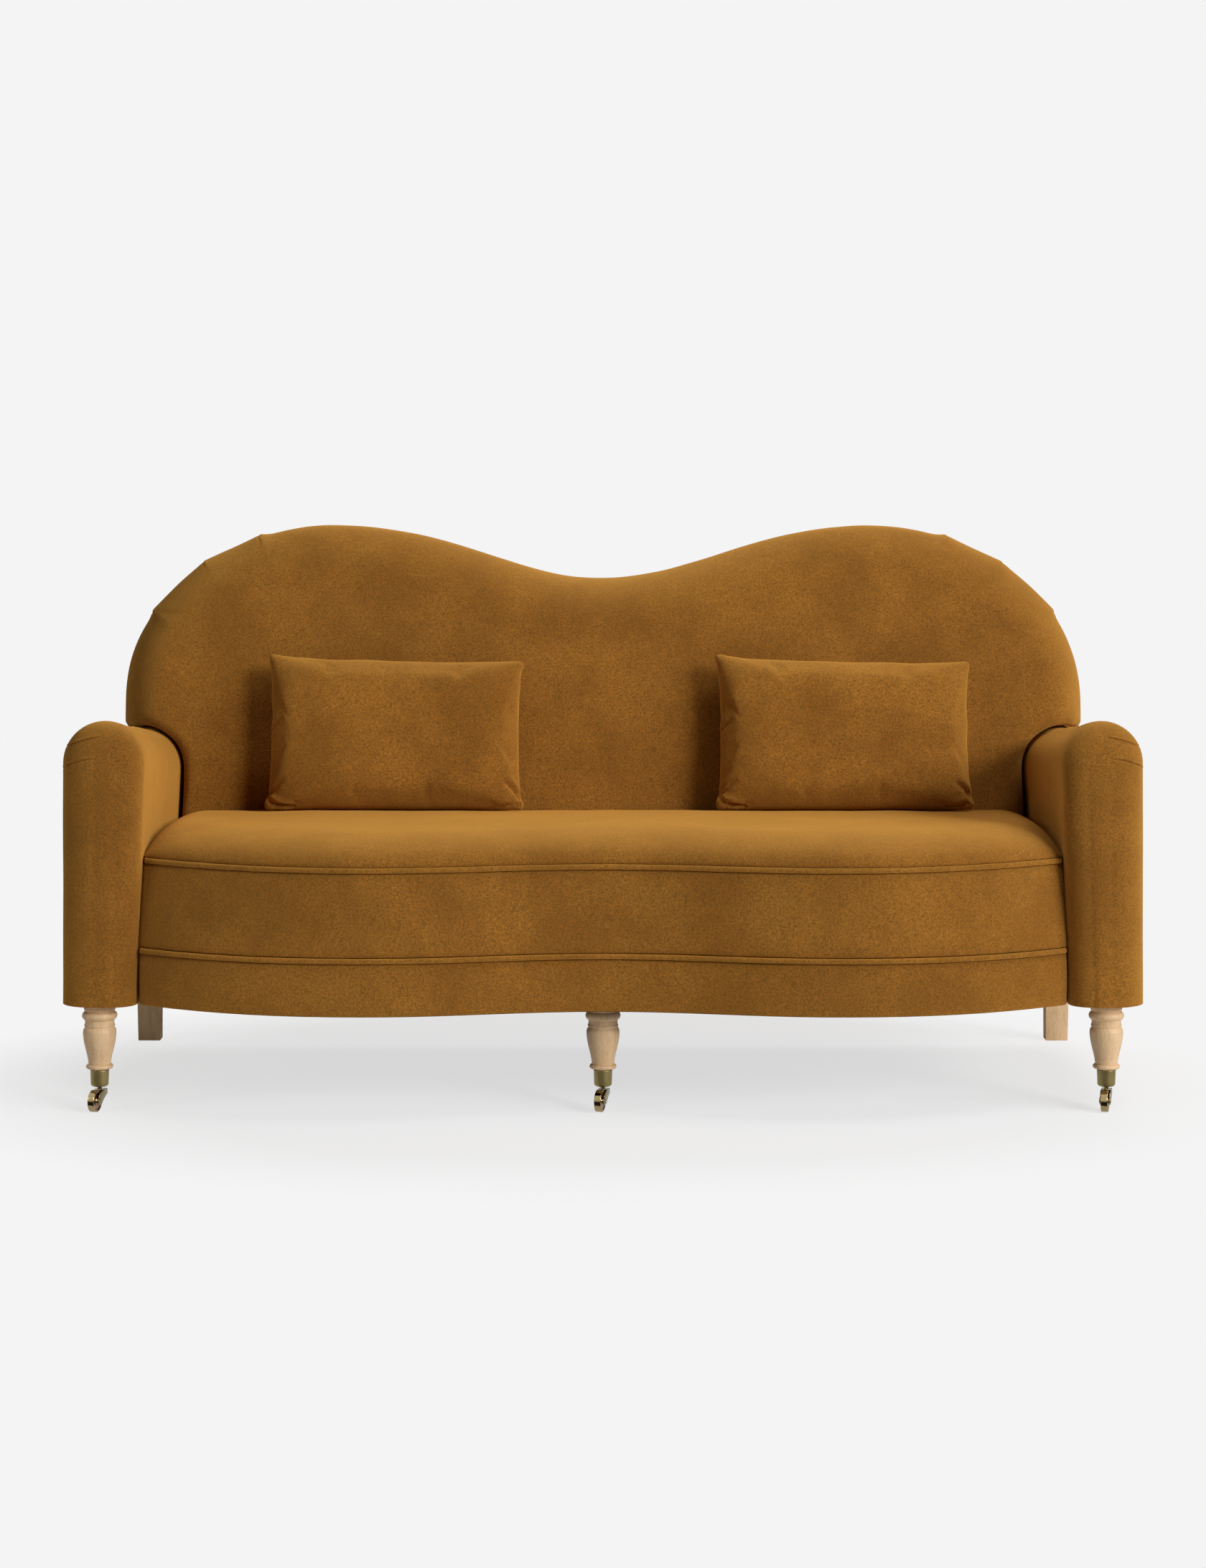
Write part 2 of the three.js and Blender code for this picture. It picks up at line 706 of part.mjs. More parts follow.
// The board under the arm's top slopes with it behind the front panel, and lies level on
// the rear post.
function armTopBoard() {
  const rear = armFrameRear;
  const frontTop = armTop - armHalf - gap;
  const rearTop = armRearSpring - gap;
  const end = (y, top) => [
    at(cavityInner, y, top - armBoardThickness),
    at(cavityOuter - gap, y, top - armBoardThickness),
    at(cavityOuter - gap, y, top),
    at(cavityInner, y, top),
  ];
  const down = armFront + armFallRun;
  const loops = [end(armPanelRear + gap, frontTop), end(down, rearTop), end(rear, rearTop)];
  return skin(loops, middleOf(loops[0]), middleOf(loops[loops.length - 1]));
}

function armRearPost() {
  const top = armRearSpring - armBoardThickness - 2 * gap;
  const front = armFrameRear - railThickness;
  return box(at(cavityInner, front, armBaseTop + gap), at(cavityOuter, armFrameRear, top));
}

// Back

// The top of the back as one open line from its right side over both arches to its left
// side: a quarter ellipse for each shoulder and a smooth curve through the dip.
function archLine(pitch) {
  const path = new THREE.Path();
  const reach = backHalfWidth - archSpread;
  const dip = archTop - dipDepth;
  path.moveTo(backHalfWidth, shoulderLevel);
  path.absellipse(archSpread, shoulderLevel, reach, shoulderDrop, 0, Math.PI / 2);
  const dipHandle = archSpread * dipHandleShare;
  const archHandle = archSpread * archHandleShare;
  path.bezierCurveTo(archHandle, archTop, dipHandle, dip, 0, dip);
  path.bezierCurveTo(-dipHandle, dip, -archHandle, archTop, -archSpread, archTop);
  path.absellipse(-archSpread, shoulderLevel, reach, shoulderDrop, Math.PI / 2, Math.PI);
  const points = [];
  for (const curve of path.curves) {
    const length = curve.getLength();
    if (length < gap) continue;
    const steps = Math.max(Math.round(length / pitch), 1);
    const found = curve.getSpacedPoints(steps);
    points.push(...(points.length ? found.slice(1) : found));
  }
  return points;
}

// The arch line moved inwards.
function archInside(distance, pitch) {
  const line = archLine(pitch);
  return line.map((point, i) => {
    if (i === 0) return new THREE.Vector2(point.x - distance, point.y);
    if (i === line.length - 1) return new THREE.Vector2(point.x + distance, point.y);
    const run = line[i + 1].x - line[i - 1].x;
    const rise = line[i + 1].y - line[i - 1].y;
    const length = Math.hypot(run, rise);
    return new THREE.Vector2(point.x - (rise / length) * distance, point.y + (run / length) * distance);
  });
}

// Pieces of the back are made with their depth measured forward from the rear face, and
// then set against it: the rear face leans, so each height moves back by its share.
function againstRear(geometry) {
  const lean = rearRake / backHeight;
  const matrix = new THREE.Matrix4().set(
    1, 0, 0, 0,
    0, -1, lean, rearFace(0),
    0, 0, 1, 0,
    0, 0, 0, 1,
  );
  return clean(geometry.clone().applyMatrix4(matrix));
}

// A flat shape drawn in the plane of the back, between two depths from the rear face.
function backPlate(shape, near, far) {
  const geometry = new THREE.ExtrudeGeometry(shape, {
    depth: far - near,
    bevelEnabled: false,
    curveSegments: 12,
  });
  return againstRear(geometry.rotateX(Math.PI / 2).translate(0, far, 0));
}

const armMouth = armInner(armTop) - backClearance - gap; // the back's half width between the arms
const shoulderFoot = armRearTop + gap;
const lowRollShare = 0.12; // the rolls' size between the arms, of their size above them
const rearTurnShares = [0, 0.5, 1]; // of a quarter turn, over the rear roll
const frontTurnShares = [0.24, 0.48, 0.74, 1]; // and over the front one
const faceShares = [0.22, 0.48, 0.74]; // from the roll to the middle of the face

function backOutline() {
  const arch = archLine(archPitch).map((p) => at(p.x, 0, p.y));
  const foot = underside + backFoot;
  const footSteps = 12;
  const sideSteps = 3;
  const notchTop = armRearSpring - armHalf / 3;
  const right = [];
  for (let i = 0; i < sideSteps; i++) {
    right.push(at(armMouth, 0, foot + ((notchTop - foot) * i) / (sideSteps - 1)));
  }
  right.push(at(width / 2 - armHalf, 0, shoulderFoot - shoulderCorner));
  right.push(at(backHalfWidth - shoulderCorner, 0, shoulderFoot));
  right.push(at(backHalfWidth, 0, shoulderFoot + shoulderCorner));
  const left = right.map((p) => at(-p.x, 0, p.z)).reverse();
  const base = [];
  for (let i = 1; i < footSteps; i++) base.push(at(-armMouth + (2 * armMouth * i) / footSteps, 0, foot));
  return [...base, ...right, ...arch, ...left];
}

// The padding: a rear edge rounded over to the rim, then a fuller roll to the raked face.
function backPad() {
  const outline = backOutline();
  const start = panelThickness + gap;
  const shares = outline.map((p) => {
    const rise = THREE.MathUtils.smoothstep(p.z, shoulderFoot - armHalf, shoulderFoot + shoulderCorner);
    return lowRollShare + (1 - lowRollShare) * rise;
  });
  const ring = (distance, depth) =>
    inset(outline, shares.map((share) => share * distance), 'x', 'z').map((p) => p.setY(depth(p.z)));
  const rearStep = (turn) =>
    ring(rearRoll * (1 - Math.sin(turn)), () => start + (rimDepth - start) * (1 - Math.cos(turn)));
  const frontStep = (turn) =>
    ring(frontRoll * (1 - Math.cos(turn)), (z) => rimDepth + (backThickness(z) - rimDepth) * Math.sin(turn));
  const quarterTurn = Math.PI / 2;
  const face = frontStep(quarterTurn);
  const middle = at(0, 0, shoulderLevel);
  const inward = (share) =>
    face.map((p) => {
      const moved = p.clone().lerp(middle, share);
      return moved.setY(backThickness(moved.z));
    });
  const loops = [
    ...rearTurnShares.map((share) => rearStep(share * quarterTurn)),
    ...frontTurnShares.map((share) => frontStep(share * quarterTurn)),
    ...faceShares.map(inward),
  ];
  const solid = skin(
    loops,
    middle.clone().setY(start),
    middle.clone().setY(backThickness(middle.z)),
  );
  const arm = armForm({ grow: backClearance, past: 2 * overrun });
  return cut(againstRear(solid), backPocket(), arm, mirrored(arm));
}

const frameNear = panelThickness + gap; // depths of the back's frame from the rear face
const frameFar = frameNear + backBoard;
const railEndShare = 0.6; // the arched rail's ends above the shoulders' foot, of its inset
const archFoot = shoulderFoot + railEndShare * archInset;
const postOuter = postPlace + postWidth / 2;

// The space in the padding that the back's frame fills.
function backPocket() {
  const arch = archInside(archInset - gap, archPitch);
  const first = arch[0];
  const last = arch[arch.length - 1];
  const low = underside - overrun;
  const points = [
    new THREE.Vector2(postOuter + gap, low),
    new THREE.Vector2(postOuter + gap, archFoot - gap),
    new THREE.Vector2(first.x, archFoot - gap),
    ...arch,
    new THREE.Vector2(last.x, archFoot - gap),
    new THREE.Vector2(-postOuter - gap, archFoot - gap),
    new THREE.Vector2(-postOuter - gap, low),
  ];
  return backPlate(new THREE.Shape(points), -overrun, frameFar + gap);
}

function backTopRail() {
  const outer = archInside(archInset, archPitch);
  const inner = archInside(archInset + archBand, archPitch);
  const foot = (p) => new THREE.Vector2(p.x, archFoot);
  const points = [
    foot(outer[0]),
    ...outer,
    foot(outer[outer.length - 1]),
    foot(inner[inner.length - 1]),
    ...inner.reverse(),
    foot(inner[inner.length - 1]),
  ];
  return backPlate(new THREE.Shape(points), frameNear, frameFar);
}

// Underside of the arched rail at x, read from its own inner line.
function archUnder(x) {
  const line = archInside(archInset + archBand, archPitch);
  let under = archTop;
  for (let i = 0; i + 1 < line.length; i++) {
    const [a, b] = [line[i], line[i + 1]];
    if ((a.x - x) * (b.x - x) > 0 || a.x === b.x) continue;
    under = Math.min(under, a.y + ((b.y - a.y) * (x - a.x)) / (b.x - a.x));
  }
  return under;
}

// Uprights stand on the rear seat rail and end under the arched rail.
function backUpright(middle, breadth) {
  const [left, right] = [middle - breadth / 2, middle + breadth / 2];
  const steps = 4;
  const top = Array.from({ length: steps + 1 }, (_, i) => {
    const x = right - (breadth * i) / steps;
    return new THREE.Vector2(x, archUnder(x) - 2 * gap);
  });
  const foot = railTop + gap;
  const shape = new THREE.Shape([new THREE.Vector2(left, foot), new THREE.Vector2(right, foot), ...top]);
  return backPlate(shape, frameNear, frameFar);
}

// The back's lower rail, in two lengths either side of the stile, halved into it as one.
function backBottomRail() {
  const reach = postPlace - postWidth / 2 - gap;
  const low = underside + backFoot;
  const high = low + linerHeight;
  const shape = new THREE.Shape([
    new THREE.Vector2(-reach, low),
    new THREE.Vector2(reach, low),
    new THREE.Vector2(reach, high),
    new THREE.Vector2(-reach, high),
  ]);
  return backPlate(shape, frameNear + backBoard / 2 + gap / 2, frameFar);
}

// The stile is halved over the lower rail.
function backStile() {
  const low = underside + backFoot - gap;
  const high = low + linerHeight + 2 * gap;
  const notch = new THREE.Shape([
    new THREE.Vector2(-stileWidth, low),
    new THREE.Vector2(stileWidth, low),
    new THREE.Vector2(stileWidth, high),
    new THREE.Vector2(-stileWidth, high),
  ]);
  const room = backPlate(notch, frameNear + backBoard / 2 - gap / 2, frameFar + overrun);
  return cut(backUpright(0, stileWidth), room);
}

function outsideBack() {
  const arch = archInside(panelInset, archPitch);
  const foot = underside + gap;
  const side = width / 2 - panelInset / 2;
  const points = [
    new THREE.Vector2(-side, foot),
    new THREE.Vector2(side, foot),
    new THREE.Vector2(side, armRearSpring + armHalf / 3),
    new THREE.Vector2(arch[0].x, shoulderFoot),
    ...arch,
    new THREE.Vector2(-arch[0].x, shoulderFoot),
    new THREE.Vector2(-side, armRearSpring + armHalf / 3),
  ];
  return backPlate(new THREE.Shape(points), 0, panelThickness);
}

// Legs

function turnedLeg() {
  const tipRadius = cupRadius - cupWall - gap;
  const beadStep = (legBead - legNeck) / 2;
  const taper = taperShares.map((share) => {
    const swell = Math.cos((share * Math.PI) / 2) ** taperPower;
    return [
      legWaist + (legShoulder - legWaist) * swell,
      legShoulderHeight + (legWaistHeight - legShoulderHeight) * share,
    ];
  });
  const profile = [
    [0, cupFloor + gap],
    [tipRadius - cupRadius + cupFootRadius, cupFloor + gap],
    [tipRadius, legFootHeight],
    [(legFootBead + cupRadius) / 2, legFootHeight],
    [legFootBead, legFootBeadHeight - footBeadHalf],
    [legFootBead, legFootBeadHeight + footBeadHalf],
    [legWaist, legWaistHeight],
    ...taper,
    [legShoulder, legShoulderHeight],
    [legFineGroove, legFineGrooveHeight],
    [legCollar, legCollarHeight],
    [legGroove, legGrooveHeight],
    [legBead - beadStep, legBeadHeight - legBeadHalf],
    [legBead, legBeadHeight],
    [legBead - beadStep, legBeadHeight + legBeadHalf],
    [legNeck, legBeadHeight + legNeckRise],
    [legNeck, legTop],
    [boltRadius + gap, legTop],
    [boltRadius + gap, underside - boltInLeg - gap],
    [0, underside - boltInLeg - gap],
  ];
  return turned(profile, 18);
}

function rearLeg() {
  const inner = rearLegOuter - rearLegWidth;
  const end = (z, back, taper) => [
    at(inner + taper, rearLegSetback + back, z),
    at(rearLegOuter, rearLegSetback + back, z),
    at(rearLegOuter, rearLegSetback + back + rearLegDepth, z),
    at(inner + taper, rearLegSetback + back + rearLegDepth, z),
  ];
  const loops = [end(0, rearLegRake, rearLegTaper), end(legTop, 0, 0)];
  const leg = skin(loops, middleOf(loops[0]), middleOf(loops[1]));
  const hole = rod(boltRadius + gap, underside - boltInLeg - gap, underside + overrun);
  return cut(leg, hole.translate(rearLegMiddle, rearBoltSetback, 0));
}

function legBolt() {
  return rod(boltRadius, underside - boltInLeg, underside + boltInFrame);
}

// Casters, made with the stem on the origin's vertical and the wheel towards -Y

function casterCup() {
  const bore = stemRadius + stemClearance;
  const turnRadius = cupFoot - cupBottom;
  const profile = [
    [0, cupFloor],
    [cupFootRadius - cupWall, cupFloor],
    [cupRadius - cupWall, cupTop],
    [cupRadius, cupTop],
    [cupFootRadius, cupFoot],
    [cupFootRadius - cupTurnShares[0] * turnRadius, cupFoot - cupTurnShares[1] * turnRadius],
    [cupFootRadius - turnRadius, cupBottom],
    [bore, cupBottom],
    [bore, stemTop + stemClearance],
    [0, stemTop + stemClearance],
  ];
  return turned(profile, 18);
}

const hornWidth = wheelWidth + 2 * (wheelClearance + cheekThickness);

// Turns a side view, with the first coordinate running forward from the stem and the
// second one upwards, into a solid centred on the stem.
function acrossCaster(shape, breadth, curveSegments) {
  const geometry = new THREE.ExtrudeGeometry(shape, { depth: breadth, bevelEnabled: false, curveSegments });
  geometry.translate(0, 0, -breadth / 2);
  const matrix = new THREE.Matrix4().set(
    0, 0, 1, 0,
    -1, 0, 0, 0,
    0, 1, 0, 0,
    0, 0, 0, 1,
  );
  return clean(geometry.applyMatrix4(matrix));
}

// One curved casting: a heel under the stem, two cheeks that sweep down beside the wheel
// to the axle's eyes, and the stem itself.
function casterHorn() {
  const side = new THREE.Shape();
  side.moveTo(-heelReach, hornTop);
  side.lineTo(-heelReach, heelFoot);
  const cheekFoot = wheelRadius - eyeRadius;
  side.quadraticCurveTo(0, wheelRadius + eyeRadius / 2, trail - cheekReach, cheekFoot);
  side.quadraticCurveTo(trail - eyeRadius, cheekFoot - cheekBelly, trail, cheekFoot);
  side.absarc(trail, wheelRadius, eyeRadius, -Math.PI / 2, Math.PI / 2);
  side.quadraticCurveTo(trail - eyeRadius, hornTop, stemRadius, hornTop);
  const body = acrossCaster(side, hornWidth, 6);
  const stem = rod(stemRadius, hornTop - stemRadius, stemTop, 16);
  const room = new THREE.Shape().absarc(trail, wheelRadius, wheelRadius + wheelClearance, 0, 2 * Math.PI);
  const slot = acrossCaster(room, wheelWidth + 2 * wheelClearance, 12);
  const bore = new THREE.Shape().absarc(trail, wheelRadius, axleRadius + axleClearance, 0, 2 * Math.PI);
  return cut(join(body, stem), slot, acrossCaster(bore, hornWidth + overrun, 8));
}

// A wheel with a slightly crowned tread, eased edges, dished sides and a hub.
function casterWheel() {
  const half = wheelWidth / 2;
  const ease = wheelWidth / 8;
  const dish = wheelWidth / 6;
  const hub = axleHead + dish;
  const bore = axleRadius + axleClearance;
  const outer = (side) => [
    [wheelRadius - ease, side * half],
    [wheelRadius - treadEaseShare * ease, side * (half - ease)],
  ];
  const points = [
    [bore, -half],
    [hub, -half],
    [hub + dish, dish - half],
    [wheelRadius - 3 * ease, dish - half],
    [wheelRadius - 2 * ease, -half],
    ...outer(-1),
    [wheelRadius, 0],
    ...outer(1).reverse(),
    [wheelRadius - 2 * ease, half],
    [wheelRadius - 3 * ease, half - dish],
    [hub + dish, half - dish],
    [hub, half],
    [bore, half],
    [bore, -half],
  ].map(([radius, along]) => new THREE.Vector2(radius, along));
  return new THREE.LatheGeometry(points, 22).rotateZ(Math.PI / 2).translate(0, -trail, wheelRadius);
}

// A riveted pin with a head outside each cheek.
function casterAxle() {
  const seat = hornWidth / 2 + gap;
  const tip = seat + axleHeadThickness;
  const points = [
    [0, -tip],
    [axleHead, -tip],
    [axleHead, -seat],
    [axleRadius, -seat],
    [axleRadius, seat],
    [axleHead, seat],
    [axleHead, tip],
    [0, tip],
  ].map(([radius, along]) => new THREE.Vector2(radius, along));
  return new THREE.LatheGeometry(points, 16).rotateZ(Math.PI / 2).translate(0, -trail, wheelRadius);
}

// Pillows

// A knife-edged cushion: full in the middle, drawn in along its sides, its corners left
// standing out.
function pillowForm() {
  const acrossSteps = 22;
  const upSteps = 14;
  const halves = { x: pillowWidth / 2, z: pillowHeight / 2, y: pillowThickness / 2 };
  const ease = (steps, i) => Math.sin(((i / steps) * 2 - 1) * (Math.PI / 2));
  const place = (i, j, side) => {
    const u = ease(acrossSteps, i);
    const v = ease(upSteps, j);
    const { across, up, full } = pillowPowers;
    const fullness = ((1 - Math.abs(u) ** across) * (1 - Math.abs(v) ** up)) ** full;
    return at(
      halves.x * u * (1 - pillowSideDraw * (1 - v * v)),
      side * halves.y * fullness,
      halves.z * v * (1 - pillowEdgeDraw * (1 - u * u)),
    );
  };
  const points = [];
  const face = (side) => {
    for (let i = 0; i < acrossSteps; i++) {
      for (let j = 0; j < upSteps; j++) {
        const [a, b] = [place(i, j, side), place(i + 1, j, side)];
        const [c, d] = [place(i + 1, j + 1, side), place(i, j + 1, side)];
        if (side < 0) points.push(a, b, c, a, c, d);
        else points.push(a, c, b, a, d, c);
      }
    }
  };
  face(-1);
  face(1);
  const geometry = new THREE.BufferGeometry().setFromPoints(points);
  geometry.setIndex([...points.keys()]);
  return clean(geometry);
}

// Moves a shape straight along a direction until it is a small gap from a mesh.
function rest(geometry, support, direction) {
  const ray = new THREE.Raycaster();
  const place = geometry.attributes.position;
  const corner = new THREE.Vector3();
  let free = Infinity;
  for (let i = 0; i < place.count; i++) {
    ray.set(corner.fromBufferAttribute(place, i), direction);
    const [hit] = ray.intersectObject(support);
    if (hit) free = Math.min(free, hit.distance);
  }
  return geometry.translate(...direction.clone().multiplyScalar(free - gap));
}

// Turned to lean on the back, then let down and pushed back until it rests on both. It
// goes down once more a little ahead of the back's slope, and back again.
function pillow(side, seat, back) {
  const geometry = pillowForm();
  geometry.rotateY(THREE.MathUtils.degToRad(-pillowTilts[side]));
  geometry.rotateX(THREE.MathUtils.degToRad(-pillowLean));
  const height = seatLevel + pillowHeight;
  geometry.translate(pillowPlaces[side], backFace(seatLevel) - pillowThickness, height);
  const rearward = at(0, 1, 0);
  const down = at(0, 0, -1);
  const downSlope = at(0, -Math.tan(2 * THREE.MathUtils.degToRad(pillowLean)), -1).normalize();
  rest(geometry, seat, down);
  rest(geometry, back, rearward);
  rest(geometry, seat, downSlope);
  return rest(geometry, back, rearward);
}

// Assembly

const sofa = new THREE.Group();

function piece(name, geometry, material, parent = sofa) {
  const mesh = new THREE.Mesh(clean(geometry), material);
  mesh.name = name;
  parent.add(mesh);
  return mesh;
}

function pair(name, geometry, material) {
  piece(`${name}_left`, mirrored(geometry), material);
  piece(`${name}_right`, geometry, material);
}

const seat = piece('seat_pad', seatPad(), velvet);
piece('seat_welt_upper', welt(upperWelt), piping);
piece('seat_welt_lower', welt(lowerWelt), piping);
piece('rail_cover', railCover(), velvet);
const back = piece('back_pad', backPad(), velvet);
piece('outside_back', outsideBack(), velvet);
pair('arm_pad', armPad(), velvet);
piece('pillow_left', pillow('left', seat, back), velvet);
piece('pillow_right', pillow('right', seat, back), velvet);
piece('dust_cover', dustCover(), lining);

piece('front_rail', frontRail(), pine);
piece('rear_rail', rearRail(), pine);
pair('side_rail', sideRail(), pine);
piece('centre_rail', centreRail(), pine);
pair('corner_block_front', cornerBlock(true), pine);
pair('corner_block_rear', cornerBlock(false), pine);
piece('seat_webbing', seatWebbing(), jute);

piece('back_top_rail', backTopRail(), pine);
pair('back_post', backUpright(postPlace, postWidth), pine);
piece('back_centre_stile', backStile(), pine);
piece('back_bottom_rail', backBottomRail(), pine);

pair('arm_base', armBase(), pine);
pair('arm_front_panel', armFrontPanel(), pine);
pair('arm_rear_post', armRearPost(), pine);
pair('arm_top_board', armTopBoard(), pine);

pair('rear_leg', rearLeg(), oak);
for (const [side, direction] of [['left', -1], ['right', 1]]) {
  const bolt = piece(`rear_leg_bolt_${side}`, legBolt(), steel);
  bolt.position.set(direction * rearLegMiddle, rearBoltSetback, 0);
}

for (const [side, x] of [['left', -legPlace], ['centre', 0], ['right', legPlace]]) {
  const leg = new THREE.Group();
  leg.position.set(x, legSetback, 0);
  sofa.add(leg);
  piece(`front_leg_${side}`, turnedLeg(), oak, leg);
  piece(`front_leg_bolt_${side}`, legBolt(), steel, leg);
  piece(`caster_cup_${side}`, casterCup(), brass, leg);
  const caster = new THREE.Group();
  caster.rotation.z = THREE.MathUtils.degToRad(-casterHeading);
  leg.add(caster);
  piece(`caster_horn_${side}`, casterHorn(), brass, caster);
  piece(`caster_axle_${side}`, casterAxle(), brass, caster);
  piece(`caster_wheel_${side}`, casterWheel(), brass, caster);
}

// The origin is the middle of the footprint, on the floor.
const bounds = new THREE.Box3().setFromObject(sofa);
sofa.position.y = -(bounds.min.y + bounds.max.y) / 2;

export default sofa;
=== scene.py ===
# %% [markdown]
# A tight-backed sofa with two arches, dressed in amber velvet. The plain solids of its
# frame and padding were made first, at their real size. The visible pieces could be
# sculpted freely, but here each is drawn round its solid, with sizes read from it, so that
# the two models stay together. All is in metres: +X to the right, +Y to the rear, +Z up.

# %% Load the frame
import json
import math

import bmesh
import bpy
from mathutils import Matrix, Vector, noise
from mathutils.bvhtree import BVHTree
from mathutils.kdtree import KDTree


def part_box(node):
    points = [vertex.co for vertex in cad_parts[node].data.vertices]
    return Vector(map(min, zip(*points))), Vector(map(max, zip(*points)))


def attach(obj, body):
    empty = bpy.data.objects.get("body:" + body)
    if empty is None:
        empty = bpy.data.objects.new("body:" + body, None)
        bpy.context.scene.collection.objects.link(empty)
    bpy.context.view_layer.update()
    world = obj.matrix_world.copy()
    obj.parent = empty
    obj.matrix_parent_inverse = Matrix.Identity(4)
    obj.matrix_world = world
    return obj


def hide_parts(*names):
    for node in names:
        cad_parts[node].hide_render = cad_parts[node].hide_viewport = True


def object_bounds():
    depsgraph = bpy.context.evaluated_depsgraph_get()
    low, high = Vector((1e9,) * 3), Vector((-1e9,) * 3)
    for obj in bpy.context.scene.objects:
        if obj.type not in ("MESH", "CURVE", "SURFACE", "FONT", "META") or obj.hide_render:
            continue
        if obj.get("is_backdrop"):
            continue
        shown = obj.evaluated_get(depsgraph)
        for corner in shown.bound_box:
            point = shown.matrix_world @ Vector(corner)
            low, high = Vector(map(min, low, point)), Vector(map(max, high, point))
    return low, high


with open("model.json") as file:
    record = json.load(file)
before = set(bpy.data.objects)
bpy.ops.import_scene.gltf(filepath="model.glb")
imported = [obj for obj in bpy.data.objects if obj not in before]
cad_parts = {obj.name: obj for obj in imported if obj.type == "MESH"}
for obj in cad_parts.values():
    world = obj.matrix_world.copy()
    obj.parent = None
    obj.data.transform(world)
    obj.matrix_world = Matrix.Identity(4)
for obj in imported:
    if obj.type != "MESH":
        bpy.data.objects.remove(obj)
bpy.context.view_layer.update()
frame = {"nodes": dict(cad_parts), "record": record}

# %% [markdown]
# The photograph was taken from straight in front, at about the height of the back, with a
# long lens and no tilt. The camera could be aimed by eye, but then no size could be
# compared with the picture. So its place is worked out, and the lens is shifted to keep
# the horizon high, as with a view camera. Distances are counted from the seat's front.

# %% Camera at the photograph's place
front_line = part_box("seat_welt_upper")[0].y
IMAGE_HEIGHT = 2185
FOCAL_PIXELS = 4440
HORIZON_PIXEL = 680
VIEW_DISTANCE = 5.727
EYE_HEIGHT = 1.149
SENSOR = 36.0

camera_data = bpy.data.cameras.new("camera")
camera_data.sensor_fit = "VERTICAL"
camera_data.sensor_height = SENSOR
camera_data.lens = SENSOR * FOCAL_PIXELS / IMAGE_HEIGHT
camera_data.shift_y = (HORIZON_PIXEL - IMAGE_HEIGHT / 2) / IMAGE_HEIGHT
camera = bpy.data.objects.new("camera", camera_data)
camera.location = (0, front_line - VIEW_DISTANCE, EYE_HEIGHT)
camera.rotation_euler = (math.pi / 2, 0, 0)
bpy.context.scene.collection.objects.link(camera)
bpy.context.scene.camera = camera
print("lens", round(camera_data.lens, 1), "mm, shifted by", round(camera_data.shift_y, 3))

# %% [markdown]
# All the upholstery follows a few sizes. They could be written out piece by piece, but
# then one change would leave a gap somewhere. So a size that belongs to a solid is read
# from its box, and the others, such as how far the front draws back between its two
# lobes, are named once.

# %% Sizes of the upholstery
arm_low, arm_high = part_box("arm_pad_right")
seat_low, seat_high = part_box("seat_pad")
back_low, back_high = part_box("back_pad")
panel_low, panel_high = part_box("outside_back")
cover_low, cover_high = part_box("rail_cover")
welt_low, welt_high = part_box("seat_welt_upper")
GAP = 0.0003
underside = cover_low.z
half_width = arm_high.x
welt_radius = (welt_high.z - welt_low.z) / 2
upper_welt = welt_low.z + welt_radius
lower_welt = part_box("seat_welt_lower")[0].z + welt_radius

ARM_LEAN = 0.014
ARM_FALL = 0.054
REAR_RAKE = 25 / 876
PANEL_THICKNESS = 0.008
arm_half = (arm_high.x - arm_low.x) / 2
arm_straight = arm_high.z - arm_half - underside
arm_rear_top = arm_high.z - ARM_FALL
seat_half = arm_low.x + ARM_LEAN
print("half the seat", round(seat_half, 3), "m, welts", round(2000 * welt_radius, 1), "mm thick")

# %% [markdown]
# The front of the seat is a serpentine: it lies back at the middle, comes forward in two
# lobes and falls away again towards the arms. It could be traced as a row of points, but a
# formula stays smooth at any fineness, and the seat, the welts and the rail's cover can
# all follow it. The lean of the rear and of the arms' inner sides has a formula too.

# %% Lines that the upholstery follows
LOBE_SPREAD = 0.426
WAIST_DEPTH = 0.063
CORNER_LOW = (0.144, 2.3)
CORNER_HIGH = (0.175, 2.06)
WELT_SINK = 0.001
SIDE_RETURN = 0.006


def clamp(value, low=0.0, high=1.0):
    return max(low, min(high, value))


def arm_inner(z):
    """The inner face of the right arm at a height."""
    return arm_low.x + ARM_LEAN * (1 - clamp((z - underside) / arm_straight))


def rear_face(z):
    """The sofa's leaning rear face at a height."""
    return panel_high.y - REAR_RAKE * (panel_high.z - z)


def front_edge(x, z):
    """The serpentine front at a place across and a height."""
    across = abs(x)
    proud = front_line + welt_radius - WELT_SINK
    if across <= LOBE_SPREAD:
        return proud + WAIST_DEPTH / 2 * (1 + math.cos(math.pi * across / LOBE_SPREAD))
    turn = (across - LOBE_SPREAD) / (seat_half - LOBE_SPREAD)
    low = CORNER_LOW[0] * turn ** CORNER_LOW[1]
    high = CORNER_HIGH[0] * turn ** CORNER_HIGH[1]
    return proud + low + (high - low) * clamp((z - lower_welt) / (upper_welt - lower_welt))


def front_slope(x, z):
    return (front_edge(x + GAP, z) - front_edge(x - GAP, z)) / (2 * GAP)


def front_back(x, z, depth):
    """The front moved back by a depth measured square to it."""
    return front_edge(x, z) + depth * math.hypot(1, front_slope(x, z))


def lift(distance, width):
    """Height of a quarter-round roll at a distance from its edge, from 0 to 1."""
    return math.sqrt(max(0, 1 - (1 - clamp(distance / width)) ** 2))


def side_return(x, half):
    """How far the front turns in where it meets an arm."""
    return SIDE_RETURN * (1 - lift(half - abs(x), SIDE_RETURN))


